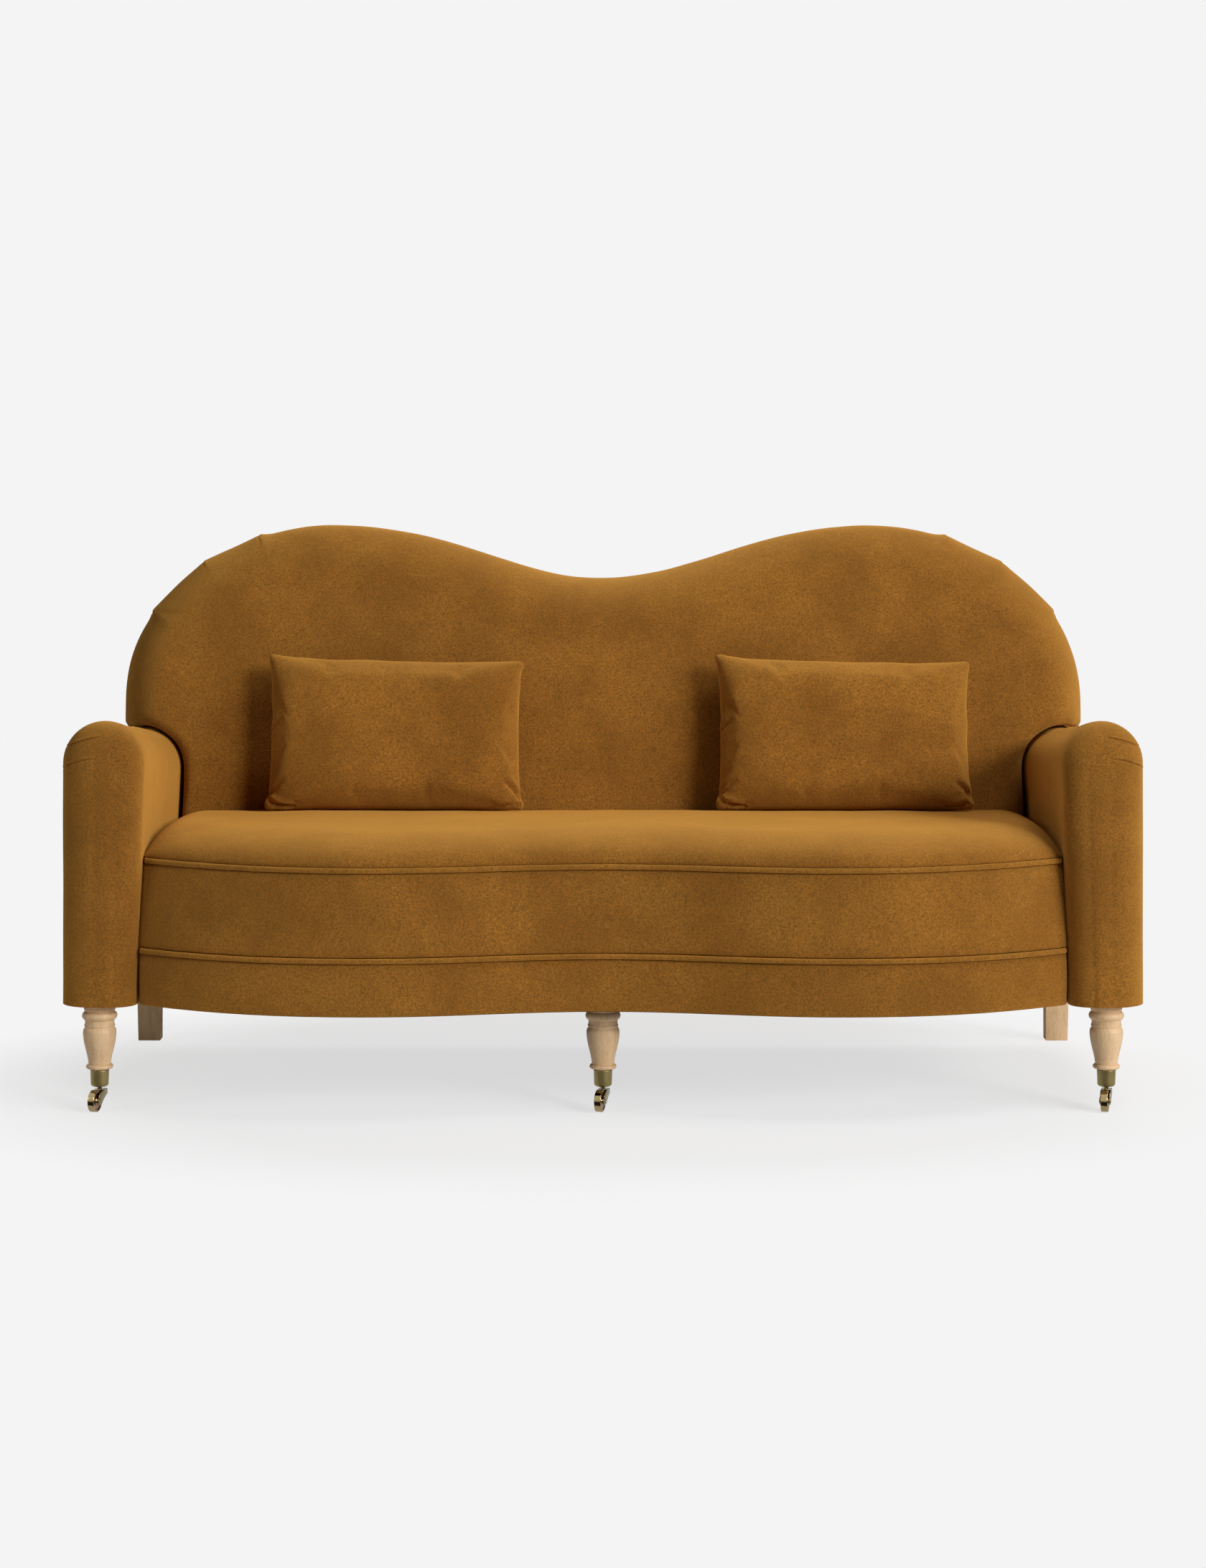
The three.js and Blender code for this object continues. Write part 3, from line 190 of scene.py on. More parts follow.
def unevenness(point, size, seed=0.0):
    """Smooth noise from -1 to 1 whose swells are about size wide."""
    return noise.noise(Vector(point) / size + Vector((seed, -seed, seed / 2)))


print("front at the middle", round(front_edge(0, upper_welt), 3), "and at a lobe", round(front_line, 3))

# %% [markdown]
# A material is a small graph of nodes. Each graph could be wired by hand, but most
# finishes need the same few parts: noise for a pattern, a ramp that turns it into
# colours, a mix that lays one pattern over another, and bump for fine relief. Helpers for
# these keep each finish short. Patterns read object coordinates, which keep real size.

# %% Helpers for materials
def set_inputs(node, inputs):
    """Gives each input a constant, or a link from another node's output."""
    for name, value in inputs.items():
        if isinstance(value, bpy.types.NodeSocket):
            node.id_data.links.new(value, node.inputs[name])
        else:
            node.inputs[name].default_value = value
    return node


def add_node(nodes, kind, inputs=None, **settings):
    node = nodes.new("ShaderNode" + kind)
    for name, value in settings.items():
        setattr(node, name, value)
    return set_inputs(node, inputs or {})


def new_material(name):
    material = bpy.data.materials.new(name)
    material.use_nodes = True
    nodes = material.node_tree.nodes
    nodes.clear()
    shader = add_node(nodes, "BsdfPrincipled")
    add_node(nodes, "OutputMaterial", {"Surface": shader.outputs["BSDF"]})
    return material, nodes, shader


def object_coordinates(nodes, scale=(1, 1, 1)):
    place = add_node(nodes, "TexCoord").outputs["Object"]
    return add_node(nodes, "Mapping", {"Vector": place, "Scale": scale}).outputs["Vector"]


def noise_node(nodes, vector, scale, detail=3.0, roughness=0.55):
    inputs = {"Vector": vector, "Scale": scale, "Detail": detail, "Roughness": roughness}
    return add_node(nodes, "TexNoise", inputs).outputs["Fac"]


def ramp_node(nodes, factor, stops):
    """Turns a value into a colour by (place, colour) stops."""
    node = add_node(nodes, "ValToRGB", {"Fac": factor})
    elements = node.color_ramp.elements
    for number, (place, colour) in ((0, stops[0]), (1, stops[-1])):
        elements[number].position = place
        elements[number].color = (*colour, 1)
    for place, colour in stops[1:-1]:
        elements.new(place).color = (*colour, 1)
    return node.outputs["Color"]


def multiply_node(nodes, first, second, share=1.0):
    """Multiplies two colours. The mix node numbers its colour inputs 6 and 7."""
    inputs = {0: share, 6: first, 7: second}
    return add_node(nodes, "Mix", inputs, data_type="RGBA", blend_type="MULTIPLY").outputs[2]


def bump_node(nodes, height, distance, strength, under=None):
    inputs = {"Height": height, "Distance": distance, "Strength": strength}
    if under is not None:
        inputs["Normal"] = under
    return add_node(nodes, "Bump", inputs).outputs["Normal"]


# %% [markdown]
# Velvet is a short pile that leans, so it looks dark where you see into it and bright
# where you look along it. A photograph of cloth could be laid on, but it would bring its
# own light with it. Here sheen gives the bright edges, wide soft patches of two close
# browns are the marks of hands and pressing, and a fine grain in colour and bump is the
# pile itself.

# %% Velvet
PRESSED_PATCHES = (6.5, 5.0, 0.62)
PILE_GRAIN = (300.0, 2.5, 0.75)
STUFFING_SWELLS = 38.0
RAMP_FROM, RAMP_TO = 0.38, 0.62
PILE_DARK = (0.40, 0.38, 0.34)
PILE_LIGHT = (1.55, 1.55, 1.52)
SHEEN_AMBER = (1.0, 0.505, 0.10, 1)


def velvet(name, dark, light):
    material, nodes, shader = new_material(name)
    place = object_coordinates(nodes)
    patches = noise_node(nodes, place, *PRESSED_PATCHES)
    grain = noise_node(nodes, place, *PILE_GRAIN)
    colour = ramp_node(nodes, patches, [(RAMP_FROM, dark), (RAMP_TO, light)])
    speckle = ramp_node(nodes, grain, [(RAMP_FROM, PILE_DARK), (RAMP_TO, PILE_LIGHT)])
    soft = bump_node(nodes, noise_node(nodes, place, STUFFING_SWELLS), 0.0022, 0.35)
    set_inputs(shader, {
        "Base Color": multiply_node(nodes, colour, speckle),
        "Normal": bump_node(nodes, grain, 0.0010, 0.45, soft),
        "Roughness": 0.92,
        "Specular IOR Level": 0.10,
        "Sheen Weight": 0.71,
        "Sheen Roughness": 0.80,
        "Sheen Tint": SHEEN_AMBER,
    })
    return material


velvet_cloth = velvet("amber_velvet", (0.130, 0.038, 0.0025), (0.210, 0.076, 0.0090))
# The pillows' velvet is the seat's cloth drawn lighter: painted light for what their faces catch.
pillow_painted_light_cloth = velvet("lumbar_velvet_painted_light", (0.144, 0.044, 0.0032), (0.238, 0.089, 0.0112))
# The piping's velvet is the seat's cloth drawn lighter: a painted highlight on the cords.
piping_painted_highlight_cloth = velvet("piping_velvet_painted_highlight", (0.150, 0.050, 0.0045), (0.230, 0.086, 0.0110))
print("velvets", [cloth.name for cloth in (velvet_cloth, pillow_painted_light_cloth, piping_painted_highlight_cloth)])

# %% [markdown]
# Upholstery is a skin drawn over stuffing, with hardly a flat or a straight line. It could
# be a box smoothed by subdivision, but that wanders from its size. A loft draws one closed
# ring, extrudes it again and again, and moves the new corners to the next ring, so a long
# soft form is exactly as smooth as the formula behind it.

# %% Lofting and dressing
def loft(rings):
    shape = bmesh.new()
    count = len(rings[0])
    corners = [shape.verts.new(point) for point in rings[0]]
    first = corners
    edges = [shape.edges.new((corners[i], corners[(i + 1) % count])) for i in range(count)]
    for ring in rings[1:]:
        order = {corner: i for i, corner in enumerate(corners)}
        made = bmesh.ops.extrude_edge_only(shape, edges=edges)["geom"]
        fresh = [None] * count
        for corner in (part for part in made if isinstance(part, bmesh.types.BMVert)):
            ends = (edge.other_vert(corner) for edge in corner.link_edges)
            fresh[order[next(end for end in ends if end in order)]] = corner
        for corner, point in zip(fresh, ring):
            corner.co = point
        corners = fresh
        edges = [shape.edges.get((corners[i], corners[(i + 1) % count])) for i in range(count)]
    shape.faces.new(first)
    shape.faces.new(corners)
    bmesh.ops.recalc_face_normals(shape, faces=shape.faces[:])
    return shape


def to_object(shape, name, smooth=True):
    mesh = bpy.data.meshes.new(name)
    shape.to_mesh(mesh)
    shape.free()
    for face in mesh.polygons:
        face.use_smooth = smooth
    made = bpy.data.objects.new(name, mesh)
    bpy.context.scene.collection.objects.link(made)
    return made


def dress(target, material, body, stands_for):
    """Gives a piece its finish and its body, and hides the plain solids it stands for."""
    target.data.materials.clear()
    target.data.materials.append(material)
    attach(target, body)
    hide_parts(*stands_for)
    print(target.name, len(target.data.polygons), "faces")
    return target


# %% [markdown]
# The seat is one tight bench, pulled down between the arms. It could be modelled as a
# cushion, but nothing on it is loose. So it is lofted across the sofa from arm to arm:
# each ring is an upright slice that climbs the band, dips into the groove of each welt,
# and rolls over the crown to the back. This cell holds the sizes of that slice.

# %% Sizes of the seat's slice
WELT_CLEARANCE = 0.0016
CROWN_WIDTH = 0.150
CROWN_REAR_FALL = 0.012
CROWN_MIDDLE_SHARE = 0.53
SIDE_ROLL_SHARE = 0.45
REAR_ROLL_SHARE = 0.05
EASE_SHARE = 0.3
UPPER_EASE_SHARE = 0.4
BAND_SWELL = 0.0020
BAND_STEPS = 18
CROWN_STEPS = 44
SEAT_SLICES = 210
groove_half = welt_radius + GAP
groove_depth = WELT_SINK + welt_radius + WELT_CLEARANCE
groove_ease = 0.0034
deck = seat_low.z
crown_middle = front_line + (seat_high.y - front_line) * CROWN_MIDDLE_SHARE


def seat_crown(y):
    """The seat's height behind its front roll. It falls a little towards the back."""
    past = max(y - crown_middle, 0) / (seat_high.y - crown_middle)
    return seat_high.z - CROWN_REAR_FALL * past ** 2


print("crown from", round(seat_crown(crown_middle), 3), "down to", round(seat_crown(seat_high.y), 3))

# %% [markdown]
# A groove on each side of a welt is what draws its thin dark line. It could be painted on,
# but a real groove also darkens with the light. The band between the welts swells by two
# millimetres and is a little uneven, most of all next to the stitches.

# %% Front band of a slice
def seat_band(u):
    """Points up the front, from the deck to the top of the upper welt's groove."""
    ring = []

    def put(depth, z):
        half = arm_inner(z) - GAP
        x = u * half
        depth += side_return(x, half)
        ring.append(Vector((x, front_back(x, z, depth), z)))

    def groove(middle, above):
        lower, upper = middle - groove_half, middle + groove_half
        if above:
            put(0, lower - groove_ease)
            put(groove_ease * EASE_SHARE, lower - groove_ease * EASE_SHARE)
            put(groove_ease, lower)
            put(groove_depth, lower)
        ease = groove_ease * (UPPER_EASE_SHARE if above else 1)
        put(groove_depth, upper)
        put(ease, upper)
        put(ease * EASE_SHARE, upper + ease * EASE_SHARE)

    put(groove_depth, deck)
    groove(lower_welt, False)
    band_low = lower_welt + groove_half + groove_ease
    band_high = upper_welt - groove_half - groove_ease
    for i in range(BAND_STEPS + 1):
        z = band_low + (band_high - band_low) * i / BAND_STEPS
        x = u * (arm_inner(z) - GAP)
        swell = BAND_SWELL * math.sin(math.pi * i / BAND_STEPS)
        swell += 0.0010 * unevenness((x, 0, z), 0.11, 3)
        near = math.exp(-min(i, BAND_STEPS - i) / 2.2)
        swell += 0.0008 * near * unevenness((x, 0, z), 0.022, 7)
        put(-swell, z)
    groove(upper_welt, True)
    return ring


# %% [markdown]
# Over the welt the cloth rolls back to the crown, and it falls away at the arms and at the
# back, where it is tucked in. Each roll could be bevelled afterwards, but three quarter
# rounds multiplied together give all of them at once, with soft inner corners. Slices lie
# closer together near the arms, where the roll is steep.

# %% Seat
def seat_slice(u):
    """One ring of the seat, at a share of the way from the middle to an arm."""
    ring = seat_band(u)
    start = upper_welt + groove_half + groove_ease * EASE_SHARE
    half_top = arm_inner(upper_welt) - GAP
    x = u * half_top
    square = math.hypot(1, front_slope(x, upper_welt))
    front = front_edge(x, upper_welt)
    front += square * side_return(x, half_top)
    rear = seat_high.y - GAP
    side = lift(half_top - abs(x), SIDE_ROLL_SHARE * CROWN_WIDTH)
    for i in range(1, CROWN_STEPS + 1):
        y = front + (rear - front) * (1 - math.cos(i / CROWN_STEPS * math.pi)) / 2
        depth = (y - front) / square
        rise = lift(depth, CROWN_WIDTH) * side * lift(rear - y, REAR_ROLL_SHARE * CROWN_WIDTH)
        wave = 0.0016 * unevenness((x, y, 0), 0.14, 11) + 0.0007 * unevenness((x, y, 0), 0.05, 5)
        near = math.exp(-depth / 0.018)
        wave += 0.0012 * near * unevenness((x, y, 0), 0.03, 19)
        ring.append(Vector((x, y, start + (seat_crown(y) - start + wave) * rise)))
    rear_low = Vector((u * (arm_inner(deck) - GAP), rear, deck))
    ring += [ring[-1].lerp(rear_low, 0.5), rear_low]
    ring += [ring[0].lerp(rear_low, share) for share in (0.75, 0.5, 0.25)]
    return ring


def eased(i, steps):
    """Even steps from -1 to 1, drawn closer together at both ends."""
    return math.sin(math.pi / 2 * (2 * i / steps - 1))


seat_rings = [seat_slice(eased(i, SEAT_SLICES)) for i in range(SEAT_SLICES + 1)]
seat = to_object(loft(seat_rings), "seat_upholstery")
dress(seat, velvet_cloth, "sofa", ["seat_pad"])

# %% [markdown]
# A welt is a cord in a sleeve of the same velvet, sewn into the seam. It could be a curve
# with a thickness, but the curve would have to be turned into a mesh to follow the sizes.
# So a round ring is swept along the front. The cord stands a little proud of the band, and
# its groove leaves a thin dark line above and below it.

# %% Welts
WELT_PROUD = 0.0012
WELT_SIDES = 20
FRONT_STEPS = 260
WELT_END_SHARE = 0.2


def front_place(x, z, depth):
    """The point square behind the front at x, and the way that square points."""
    slope = front_slope(x, z)
    length = math.hypot(1, slope)
    normal = Vector((slope / length, -1 / length, 0))
    return Vector((x, front_edge(x, z), z)) - normal * depth, normal


def swept(section, half, z):
    """Carries a section of (out, up) pairs along the front, turned in at both arms."""
    rings = []
    for i in range(FRONT_STEPS + 1):
        x = half * eased(i, FRONT_STEPS)
        place, normal = front_place(x, z, side_return(x, half))
        rings.append([place + normal * out + Vector((0, 0, up)) for out, up in section])
    return loft(rings)


def round_section(radius, sides, out):
    turns = [2 * math.pi * i / sides for i in range(sides)]
    return [(out + radius * math.cos(turn), radius * math.sin(turn)) for turn in turns]


for name, z in (("seat_welt_upper", upper_welt), ("seat_welt_lower", lower_welt)):
    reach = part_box(name)[1].x - welt_radius * WELT_END_SHARE
    shape = swept(round_section(welt_radius, WELT_SIDES, WELT_PROUD), reach, z)
    for corner in shape.verts:
        corner.co.z += 0.00025 * unevenness(corner.co, 0.03, 23)
    cord = to_object(shape, name + "_piping")
    dress(cord, piping_painted_highlight_cloth, "sofa", [name])

# %% [markdown]
# Below the lower welt the front rail has a padded cover that ends in a small hem. It could
# be a flat board of cloth, but its swell and its rounded foot catch the light. It is swept
# along the same front as the welts, with a section of its own.

# %% Cover of the front rail
HEM_RADIUS = 0.005
HEM_STEPS = 6
COVER_STEPS = 12
COVER_SWELL = 0.0015
cover_thickness = 0.012
cover_height = cover_high.z - cover_low.z
cover_section = [(-cover_thickness, cover_height), (-cover_thickness, 0)]
for i in range(HEM_STEPS + 1):
    turn = math.pi / 2 * i / HEM_STEPS
    cover_section.append((-HEM_RADIUS * (1 - math.sin(turn)), HEM_RADIUS * (1 - math.cos(turn))))
for i in range(1, COVER_STEPS):
    share = i / COVER_STEPS
    rise = HEM_RADIUS + (cover_height - HEM_RADIUS - groove_ease) * share
    cover_section.append((COVER_SWELL * math.sin(math.pi * share), rise))
cover_section.append((-groove_ease * EASE_SHARE, cover_height - groove_ease * EASE_SHARE))
cover_section.append((-groove_ease, cover_height))
shape = swept(cover_section, cover_high.x - GAP, cover_low.z)
for corner in shape.verts:
    corner.co.y += 0.0010 * unevenness(corner.co, 0.10, 31)
rail_cloth = to_object(shape, "rail_upholstery")
dress(rail_cloth, velvet_cloth, "sofa", ["rail_cover"])

# %% [markdown]
# Each arm is a slim upright slab with a half-round top. Its front is rounded over in plan
# and from the face up to the top, more at the outside than at the inside, and the top
# slopes down to the rear. A bevelled box could stand for it, but its roundings differ from
# edge to edge. So it is lofted from front to rear, and the same form, drawn a little
# larger, later cuts the notch in the back.

# %% Arm's section
ARM_FALL_RUN = 0.549
ARM_OUTER_RADIUS = 0.066
ARM_INNER_RADIUS = 0.042
ARM_NOSE_RADIUS = 0.060
FACE_BULGE = 0.003
ROUND_STEPS = 28


def quarter(radius, s):
    return radius if s >= radius else math.sqrt(max(0, radius ** 2 - (radius - s) ** 2))


def arm_section(s, fall, draw, grow, foot, walls):
    """The arm's outline across at a distance behind its face, as (x, y, z) triples."""
    outer_radius = ARM_OUTER_RADIUS + grow
    inner_radius = max(ARM_INNER_RADIUS + grow, GAP)
    nose_radius = ARM_NOSE_RADIUS + grow
    outer = half_width + grow - outer_radius + quarter(outer_radius, s)
    pull = inner_radius - quarter(inner_radius, s)
    top = arm_high.z + grow - fall - nose_radius + quarter(nose_radius, s)
    inner_top = arm_inner(top - arm_half - grow) - grow + pull
    half = (outer - inner_top) / 2
    middle = (outer + inner_top) / 2
    spring = top - half
    places = []
    for i in range(walls):
        z = foot + (spring - foot) * i / walls
        places.append((arm_inner(z) - grow + pull, z))
    for i in range(ROUND_STEPS + 1):
        turn = math.pi * (1 - i / ROUND_STEPS)
        places.append((middle + half * math.cos(turn), spring + half * math.sin(turn)))
    for i in range(walls - 1, -1, -1):
        places.append((outer, foot + (spring - foot) * i / walls))
    y = arm_low.y - grow + s - FACE_BULGE * (1 - (1 - draw) ** 2)
    return [(x + (middle - x) * draw, y, z + (min(z, spring) - z) * draw) for x, z in places]


# %% Arm form
NOSE_STEPS = 22
RUN_STEPS = 56
WALL_STEPS = 30
FACE_DRAWS = (0.97, 0.8, 0.6, 0.4, 0.2)
FALL_WAVE = 0.035


def arm_form(name, direction, grow=0.0, foot=underside, past=0.0, detail=1.0):
    """An arm, or a form like it that is larger by grow and goes past it at the rear."""
    outer_radius = ARM_OUTER_RADIUS + grow
    walls = max(4, int(WALL_STEPS * detail))
    rings = []

    def add(s, fall=0.0, draw=0.0, rear=False):
        ring = []
        for x, y, z in arm_section(s, fall, draw, grow, foot, walls):
            if rear:
                y = rear_face(z) - PANEL_THICKNESS - GAP + past
            ring.append(Vector((direction * x, y, z)))
        rings.append(ring)

    for draw in FACE_DRAWS:
        add(0, draw=draw)
    for i in range(NOSE_STEPS + 1):
        add(outer_radius * (1 - math.cos(math.pi / 2 * i / NOSE_STEPS)))
    run = rear_face(arm_rear_top) - arm_low.y
    steps = max(8, int(RUN_STEPS * detail))
    for i in range(1, steps + 1):
        s = outer_radius + (run - outer_radius) * i / steps
        share = clamp((s - outer_radius) / (ARM_FALL_RUN - outer_radius))
        sloped = share + FALL_WAVE * math.sin(2 * math.pi * share) * abs(math.sin(math.pi * share))
        add(s, ARM_FALL * sloped, rear=i == steps)
    return to_object(loft(rings), name)


# %% [markdown]
# The arms need three more things: a hollow for their wooden frame, folds, and edges that
# shade sharp only where the form is sharp. A modifier could stay live on the piece, but an
# applied one can be worked on further. A bmesh is opened from the mesh for each change and
# put back after it.

# %% Helpers for cutting and shading
def apply_modifier(target, kind, **settings):
    modifier = target.modifiers.new(kind.lower(), kind)
    for key, value in settings.items():
        setattr(modifier, key, value)
    shown = target.evaluated_get(bpy.context.evaluated_depsgraph_get())
    mesh = bpy.data.meshes.new_from_object(shown)
    target.modifiers.clear()
    target.data = mesh
    return target


def cut_away(target, *tools):
    for tool in tools:
        apply_modifier(target, "BOOLEAN", operation="DIFFERENCE", solver="MANIFOLD", object=tool)
        bpy.data.objects.remove(tool)
    return target


def opened(target):
    shape = bmesh.new()
    shape.from_mesh(target.data)
    return shape


def put_back(shape, target):
    shape.to_mesh(target.data)
    shape.free()
    return target


def shaded(target, angle):
    """Smooth shading that keeps edges sharper than an angle in degrees."""
    shape = opened(target)
    for face in shape.faces:
        face.smooth = True
    for edge in shape.edges:
        edge.smooth = not edge.is_manifold or edge.calc_face_angle(0) < math.radians(angle)
    return put_back(shape, target)


def surface_tree(target):
    mesh = target.data
    return BVHTree.FromPolygons([v.co for v in mesh.vertices], [list(f.vertices) for f in mesh.polygons])


def on_surface(target, points):
    tree = surface_tree(target)
    return [tree.find_nearest(Vector(point))[0] for point in points]


# %% [markdown]
# A pleat or a tuck is a fold of cloth. It could be drawn as a dark line or as bump, but
# neither turns the light as a fold does. So the mesh is made finer along a route over the
# surface, and the corners near it are pressed in, deepest on the line, with a soft roll
# on either side.

# %% Creases
ROUTE_POINTS = 16
FADE_SHARE = 0.35
BELOW_SHARE = 0.35


def crease(target, route, depth, width, swell=0.3, finer=(0.016, 0.011, 0.008, 0.006), fade_start=True):
    """Presses a fold into a mesh along a route of points. It fades at its end, or at both."""
    fine = []
    for a, b in zip(route, route[1:]):
        fine += [a.lerp(b, i / ROUTE_POINTS) for i in range(ROUTE_POINTS)]
    fine.append(route[-1])
    tree = KDTree(len(fine))
    for i, point in enumerate(fine):
        tree.insert(point, i)
    tree.balance()
    shape = opened(target)
    for reach in finer:
        near = [e for e in shape.edges if tree.find((e.verts[0].co + e.verts[1].co) / 2)[2] < reach]
        bmesh.ops.subdivide_edges(shape, edges=near, cuts=1, use_grid_fill=True)
    bmesh.ops.triangulate(shape, faces=[f for f in shape.faces if len(f.verts) > 4])
    shape.normal_update()
    moves = {}
    for corner in shape.verts:
        _, index, distance = tree.find(corner.co)
        if distance < 6 * width:
            share = index / (len(fine) - 1)
            fade = min(1, (1 - share) / FADE_SHARE) * (min(1, share / FADE_SHARE) if fade_start else 1)
            above = 1 if corner.co.z > fine[index].z else BELOW_SHARE
            press = math.exp(-(distance / width) ** 2)
            roll = swell * above * math.exp(-((distance - 2.4 * width) / (1.3 * width)) ** 2)
            moves[corner] = corner.normal * (roll - press) * depth * fade
    for corner, move in moves.items():
        corner.co += move
    put_back(shape, target)


# %% [markdown]
# Two short pleats take up the cloth on the outer half of each arm's front, where it turns
# from the face round to the side. They could be left out, but they are what tells the eye
# that cloth was pulled round a corner. The arm itself is hollow round its wooden frame.

# %% Arms with their pleats
# Each pleat runs from the arm's outer side round to its face. Its seven points are given
# as distances in from the outer side, back from the face, and down from the top.
PLEATS = [
    [(0.001, 0.085, 0.052), (0.004, 0.052, 0.044), (0.014, 0.026, 0.036), (0.032, 0.010, 0.028),
     (0.052, 0.004, 0.023), (0.070, 0.002, 0.0205), (0.082, 0.001, 0.0195)],
    [(0.001, 0.085, 0.094), (0.004, 0.050, 0.086), (0.014, 0.024, 0.078), (0.030, 0.009, 0.072),
     (0.046, 0.003, 0.068), (0.060, 0.001, 0.0660), (0.074, 0.000, 0.0650)],
]
PLEAT_DEPTH = 0.0038
PLEAT_WIDTH = 0.0014
ARM_PADDING = 0.022
arms = {}
for side_name, direction in (("left", -1), ("right", 1)):
    arm = arm_form("arm_upholstery_" + side_name, direction)
    for corner in arm.data.vertices:
        corner.co += corner.normal * 0.0010 * unevenness(corner.co, 0.12, 41 + direction)
    room = arm_form("arm_room", direction, -ARM_PADDING, underside - ARM_PADDING, ARM_PADDING, 0.3)
    cut_away(arm, room)
    for pleat in PLEATS:
        wanted = [(direction * (half_width - a), arm_low.y + b, arm_high.z - c) for a, b, c in pleat]
        crease(arm, on_surface(arm, wanted), PLEAT_DEPTH, PLEAT_WIDTH)
    shaded(arm, 75)
    dress(arm, velvet_cloth, "sofa", ["arm_pad_" + side_name])
    arms[side_name] = arm

# %% [markdown]
# The back is one tight pad that leans, grows thicker towards the seat, and has two arches
# with a dip between them. Its outline could be a free curve, but curves drawn by hand
# rarely match left to right. So each shoulder is a quarter ellipse, a smooth bend leads
# down into the dip, and the other half is its mirror.

# %% Back's outline
ARCH_SPREAD = 0.547
DIP_DEPTH = 0.108
SHOULDER_DROP = 0.352
DIP_HANDLE = 0.35
ARCH_HANDLE = 0.55
SHOULDER_LENGTH = 0.65
DIP_LENGTH = 0.57
OUTLINE_PITCH = 0.012


def bezier(a, b, c, d, t):
    s = 1 - t
    return a * s ** 3 + b * 3 * s * s * t + c * 3 * s * t * t + d * t ** 3


def arch_line(pitch):
    """Half of the arched top, from the right shoulder to the bottom of the dip."""
    level = back_high.z - SHOULDER_DROP
    reach = back_high.x - ARCH_SPREAD
    dip = back_high.z - DIP_DEPTH
    steps = int(SHOULDER_LENGTH / pitch)
    points = []
    for i in range(steps + 1):
        turn = math.pi / 2 * i / steps
        points.append(Vector((ARCH_SPREAD + reach * math.cos(turn), level + SHOULDER_DROP * math.sin(turn))))
    a, d = Vector((ARCH_SPREAD, back_high.z)), Vector((0, dip))
    b, c = Vector((ARCH_SPREAD * ARCH_HANDLE, back_high.z)), Vector((ARCH_SPREAD * DIP_HANDLE, dip))
    steps = int(DIP_LENGTH / pitch)
    return points + [bezier(a, b, c, d, i / steps) for i in range(1, steps + 1)]


def whole_arch(pitch):
    half = arch_line(pitch)
    return half + [Vector((-p.x, p.y)) for p in reversed(half[:-1])]


def back_outline(foot):
    """The arched top with straight sides carried down to a foot, anticlockwise."""
    arch = whole_arch(OUTLINE_PITCH)
    steps = int((arch[0].y - foot) / OUTLINE_PITCH)
    right = [Vector((arch[0].x, foot + (arch[0].y - foot) * i / steps)) for i in range(steps)]
    left = [Vector((-p.x, p.y)) for p in reversed(right)]
    base_steps = int(2 * arch[0].x / OUTLINE_PITCH)
    base = [Vector((-arch[0].x + 2 * arch[0].x * i / base_steps, foot)) for i in range(1, base_steps)]
    return right + arch + left + base


outline = back_outline(back_low.z)
print("outline of the back", len(outline), "points, dip", round(back_high.z - DIP_DEPTH, 3), "m high")

# %% [markdown]
# The pad has a small roll behind, where it meets the outside back, and a fuller roll to
# the face. A bevel could round both edges, but not by different curves. So the slab is
# lofted from its flat rear over the small roll to the outermost line, on over the fuller
# roll, and inwards across the face to a point.

# %% Back's slab
THICK_ARM = (0.157, 0.263)
THICK_TOP = (0.490, 0.178)
RIM_DEPTH = 0.092
REAR_ROLL = 0.034
FRONT_ROLL = 0.092
ROLL_STEPS = 12
FACE_STEPS = 30
seat_level = seat_high.z - CROWN_REAR_FALL
thick_seat = rear_face(seat_level) - seat_high.y - 2 * GAP
hump_level = back_high.z - SHOULDER_DROP


def back_thickness(z):
    """A curve through the pad's thickness at the seat, at the arms' height and at the top."""
    rise = max(z - seat_level, 0)
    first = (THICK_ARM[1] - thick_seat) / THICK_ARM[0]
    second = (THICK_TOP[1] - THICK_ARM[1]) / (THICK_TOP[0] - THICK_ARM[0])
    return thick_seat + first * rise + (second - first) / THICK_TOP[0] * rise * (rise - THICK_ARM[0])


def drawn_in(points, distance):
    """Each point moved inwards, square to the outline."""
    moved = []
    for i, point in enumerate(points):
        run = points[(i + 1) % len(points)] - points[i - 1]
        moved.append(point + Vector((-run.y, run.x)).normalized() * distance)
    return moved


def back_ring(points, depth):
    """A ring of the back at depths measured forward from the leaning rear face."""
    return [Vector((p.x, rear_face(p.y) - depth(p.y), p.y)) for p in points]


slab_start = PANEL_THICKNESS + GAP
rings = []
for i in range(ROLL_STEPS + 1):
    turn = math.pi / 2 * i / ROLL_STEPS
    depth = slab_start + (RIM_DEPTH - slab_start) * (1 - math.cos(turn))
    rings.append(back_ring(drawn_in(outline, REAR_ROLL * (1 - math.sin(turn))), lambda z: depth))
for i in range(1, ROLL_STEPS + 1):
    turn = math.pi / 2 * i / ROLL_STEPS
    swell = math.sin(turn)
    rings.append(back_ring(
        drawn_in(outline, FRONT_ROLL * (1 - math.cos(turn))),
        lambda z: RIM_DEPTH + (back_thickness(z) - RIM_DEPTH) * swell,
    ))
face_outline = drawn_in(outline, FRONT_ROLL)
face_heart = Vector((0, hump_level))
for i in range(1, FACE_STEPS):
    rings.append(back_ring([p.lerp(face_heart, i / FACE_STEPS) for p in face_outline], back_thickness))
back = to_object(loft(rings), "back_upholstery")
print("back", round(thick_seat, 3), "m thick at the seat,", THICK_TOP[1], "near the top")

# %% [markdown]
# The back is fitted round both arms and pocketed behind for its arched wood frame. The
# notches could be modelled into the outline, but the arms' own form, drawn a little
# larger, cuts them at an even distance from the arms all round.

